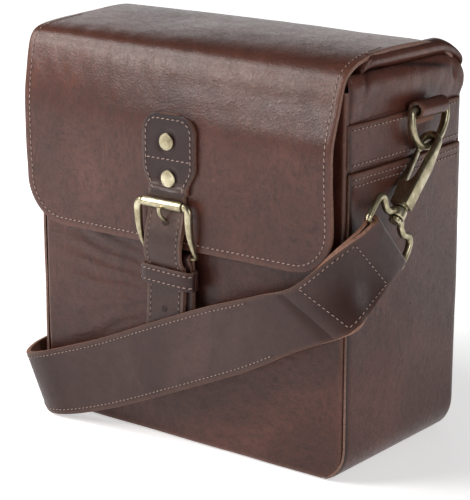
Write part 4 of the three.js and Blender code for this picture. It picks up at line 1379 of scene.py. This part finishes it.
def strap(name, frame, stations, double, node, outside, far_end):
    """A strap whose end is folded over a loop's bar and stitched down on itself."""
    hub, a, b, c, matrix = frame
    tops, bottoms, face, run = rungs(stations, 300)
    if face[0].dot(np.array(a)) * outside < 0:
        face = -face
    bar_place = np.array(hub - b * LOOP_BAR)
    a, b, c = np.array(a), np.array(b), np.array(c)
    up = 1 if (tops[0] - bottoms[0]).dot(c) > 0 else -1
    layer = 1.45
    path = []                     # (top, bottom, face)
    last = int(np.searchsorted(run, double))
    part = layer + 1.45 * np.clip(1 - run / 9, 0, 1) ** 2      # the layers part round the bar
    for i in range(last, -1, -3):
        path.append((tops[i] + face[i] * part[i], bottoms[i] + face[i] * part[i], face[i]))
    for t in np.radians(np.linspace(78, -78, 9)):
        away = a * outside * math.sin(t) + b * math.cos(t)
        centre = bar_place + away * 3.0
        path.append((centre + c * up * 19.5, centre - c * up * 19.5, away))
    for i in range(0, 301):
        ease = min(max((run[i] - double - 1) / 9, 0), 1)
        ease = ease * ease * (3 - 2 * ease)
        shift = -part[i] * (1 - ease)
        path.append((tops[i] + face[i] * shift, bottoms[i] + face[i] * shift, face[i]))
    count = len(path) - 1

    def place(u, v):
        top, bottom, _ = path[int(round(v * count))]
        edge = 0.35 * ripple(v * 900, 0, size=30, seed=3) * (2 * u - 1)
        point = bottom + (top - bottom) * u
        return Vector(point) + Vector((0, 0, edge * 0.3))

    piece = sheet_grid(name, 14, count, place, (STRAP_HIDE, STRAP_EDGE, FLESH),
                       lambda u, v: 0.7 * near(min(u, 1 - u) * STRAP, 0, 1.6))
    # the outer face of the free run looks along its rungs' faces
    probe = piece.data.polygons[len(piece.data.polygons) - 14 * 100]
    k = int(np.argmin(np.linalg.norm((tops + bottoms) / 2 * MM - np.array(probe.center), axis=1)))
    if Vector(face[k]).dot(probe.normal) < 0:
        flip(piece)
    thicken(piece, 2.7, offset=0.0, round_over=0.5, back_slot=2)
    middles = (tops + bottoms) / 2 * MM
    for polygon in piece.data.polygons:            # the folded end shows its hide on both sides
        if polygon.material_index == 2:
            k = int(np.argmin(np.linalg.norm(middles[:last + 6] - np.array(polygon.center), axis=1)))
            off = (np.array(polygon.center) - middles[k]).dot(face[k]) / MM
            if np.linalg.norm(middles[k] - np.array(polygon.center)) < 24 * MM and off > 1.6:
                polygon.material_index = 0
    finish_piece(piece, "root", [node])

    def row(label, start, end, share, lift):
        line, out = [], []
        for i in range(start, end):
            line.append(bottoms[i] + (tops[i] - bottoms[i]) * share + face[i] * lift)
            out.append(face[i])
        stitches(f"stitch_{name}_{label}", line, out, "root",
                 pitch=3.0, length=1.8, thick=0.22)

    near_bar = int(np.searchsorted(run, 9.5))
    inset = 3.0 / STRAP
    for label, share in (("top", 1 - inset), ("bottom", inset)):
        row(f"{label}_fold", near_bar, last - 3, share, layer + 1.42)
        row(label, last + 14, far_end if far_end > 0 else 300 + far_end, share, 1.42)
    for label, i in (("end", last - 4), ("bar", near_bar)):
        line = [bottoms[i] + (tops[i] - bottoms[i]) * t + face[i] * (layer + 1.42)
                for t in np.linspace(inset, 1 - inset, 12)]
        stitches(f"stitch_{name}_{label}", line, np.array([face[i]] * 12), "root",
                 pitch=3.0, length=1.8, thick=0.22)
    return piece


def straps():
    rest = 0.8

    def start(frame, share):
        hub, a, b, c, matrix = frame
        return tuple(hub - b * LOOP_BAR + c * (share * 19.5) - b * 3.2)

    def upright(x, y):
        return (x, y, rest + STRAP), (x, y, rest)

    right, left = hook_frame("right"), hook_frame("left")
    bend = [upright(64 + 13 * math.cos(t), 75 + 13 * math.sin(t)) for t in np.radians((-90, -45, 0, 45))]
    long = [
        (start(right, -1), start(right, 1)),
        ((105.5, -67, 129), (121.5, -50, 103.5)), ((85, -70.6, 109.5), (120, -67.5, 91)),
        ((62, -70, 100.5), (89, -72, 76)), ((41, -69.5, 92.8), (59, -71, 59.5)),
        ((21, -69, 85.3), (36.5, -69.8, 48.7)), ((-15, -69, 70), (0, -69.6, 32.5)),
        ((-52, -69, 53.7), (-37, -69.6, 16.6)), ((-80, -69.5, 43.2), (-66, -70.2, 6.2)),
        ((-99, -70, 36.6), (-85, -70.5, rest + 1)), ((-112, -65.5, 33.2), (-98, -64, rest)),
        ((-116.5, -52, 35.2), (-107.6, -52, rest)), ((-113.5, -30, 38.6), (-109.5, -32, rest)),
        upright(-111.8, 0), upright(-112, 36), upright(-111.8, 50), upright(-105, 60.5), upright(-92, 63),
        upright(-20, 62), upright(40, 61.7), *bend,
        ((62, 88.2, 42.5), (60, 88.2, 2.6)), ((44, 85, 50.5), (34, 85, 11.8)), ((16, 76.5, 59), (4, 76.5, 21)),
        ((-6, 72.4, 67.4), (-19, 72.4, 29.6)), ((-22, 75.2, 73.6), (-36, 75.2, 36.2)),
        ((-36, 73.6, 80.2), (-50, 73.6, 42.8)), ((-64, 73.4, 92.6), (-79, 73.4, 55.6)),
    ]
    strap("strap_long_leather", right, long, 52, "strap_long", 1, -6)
    short = [
        (start(left, 1), start(left, -1)),
        ((-109, 66.5, 120.5), (-120.5, 50, 94)), ((-91, 70.2, 105), (-119, 66, 80)),
        ((-64, 69.2, 92.6), (-79, 69.6, 55.6)), ((-36, 69.2, 80.2), (-50, 69.4, 42.8)),
        ((-27, 69.2, 76.1), (-41, 69.2, 38.7)),
    ]
    strap("strap_short_leather", left, short, 52, "strap_short", 1, -6)


# ------------------------------------------------------------------ padding
def pad(node):
    """A padded lining: a crowned slab that pulls in along its edges."""
    low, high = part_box(node)
    middle, size = (low + high) / 2, high - low
    deselect()
    bpy.ops.mesh.primitive_cube_add(size=1)
    piece = bpy.context.object
    piece.name = f"{node}_suede"
    bpy.ops.object.mode_set(mode="EDIT")
    bpy.ops.mesh.select_all(action="SELECT")
    bpy.ops.mesh.subdivide(number_cuts=23)
    bpy.ops.object.mode_set(mode="OBJECT")
    thin = min(range(3), key=lambda k: size[k])
    wide = [k for k in range(3) if k != thin]
    for vertex in piece.data.vertices:
        p = [2 * c for c in vertex.co]
        u, v = p[wide[0]], p[wide[1]]
        room_u = (1 - abs(u)) * size[wide[0]] / 2
        room_v = (1 - abs(v)) * size[wide[1]] / 2
        room = min(room_u, room_v) / (size[thin] * 0.9)
        round_off = math.sqrt(max(1 - (1 - min(room, 1)) ** 2, 0.0))
        half = size[thin] / 2
        thick = half * (0.42 + 0.58 * round_off)
        flat = [0, 0, 0]
        flat[wide[0]] = u * (size[wide[0]] / 2)
        flat[wide[1]] = v * (size[wide[1]] / 2)
        flat[thin] = p[thin] * thick + 0.0004 * ripple(u * 100, v * 100, size=40, seed=thin) * round_off
        vertex.co = middle + Vector(flat)
    piece.data.materials.append(LINING)
    finish_piece(piece, "root", [node], smooth=70)


def padding():
    for node in ("pad_base", "pad_front", "pad_back", "pad_left", "pad_right"):
        pad(node)
    pad("divider_pad")


# ------------------------------------------------------------------ build
add_camera()
add_studio()
front_leather()
gusset_leather()
sides()
flap_leather()
back_leather()
buckle_tab()
billet()
keeper()
chape()
buckle()
snap()
for side_name, side_sign in SIDE.items():
    ear_leather(side_name, side_sign)
    d_ring(side_name)
    ring_chape(side_name)
    hook(side_name)
straps()
padding()
for node_name, node in frame["nodes"].items():
    if not node.hide_render:
        node.data.materials.clear()
        slot_name = next(s["material_slot"] for s in frame["record"]["subparts"] if s["node"] == node_name)
        node.data.materials.append({
            "bag_leather": HIDE, "tab_leather": TAB_HIDE, "strap_leather": STRAP_HIDE,
            "lining_suede": LINING, "stiffener_board": LINING, "antique_brass": BRASS, "snap_steel": STEEL,
        }[slot_name])
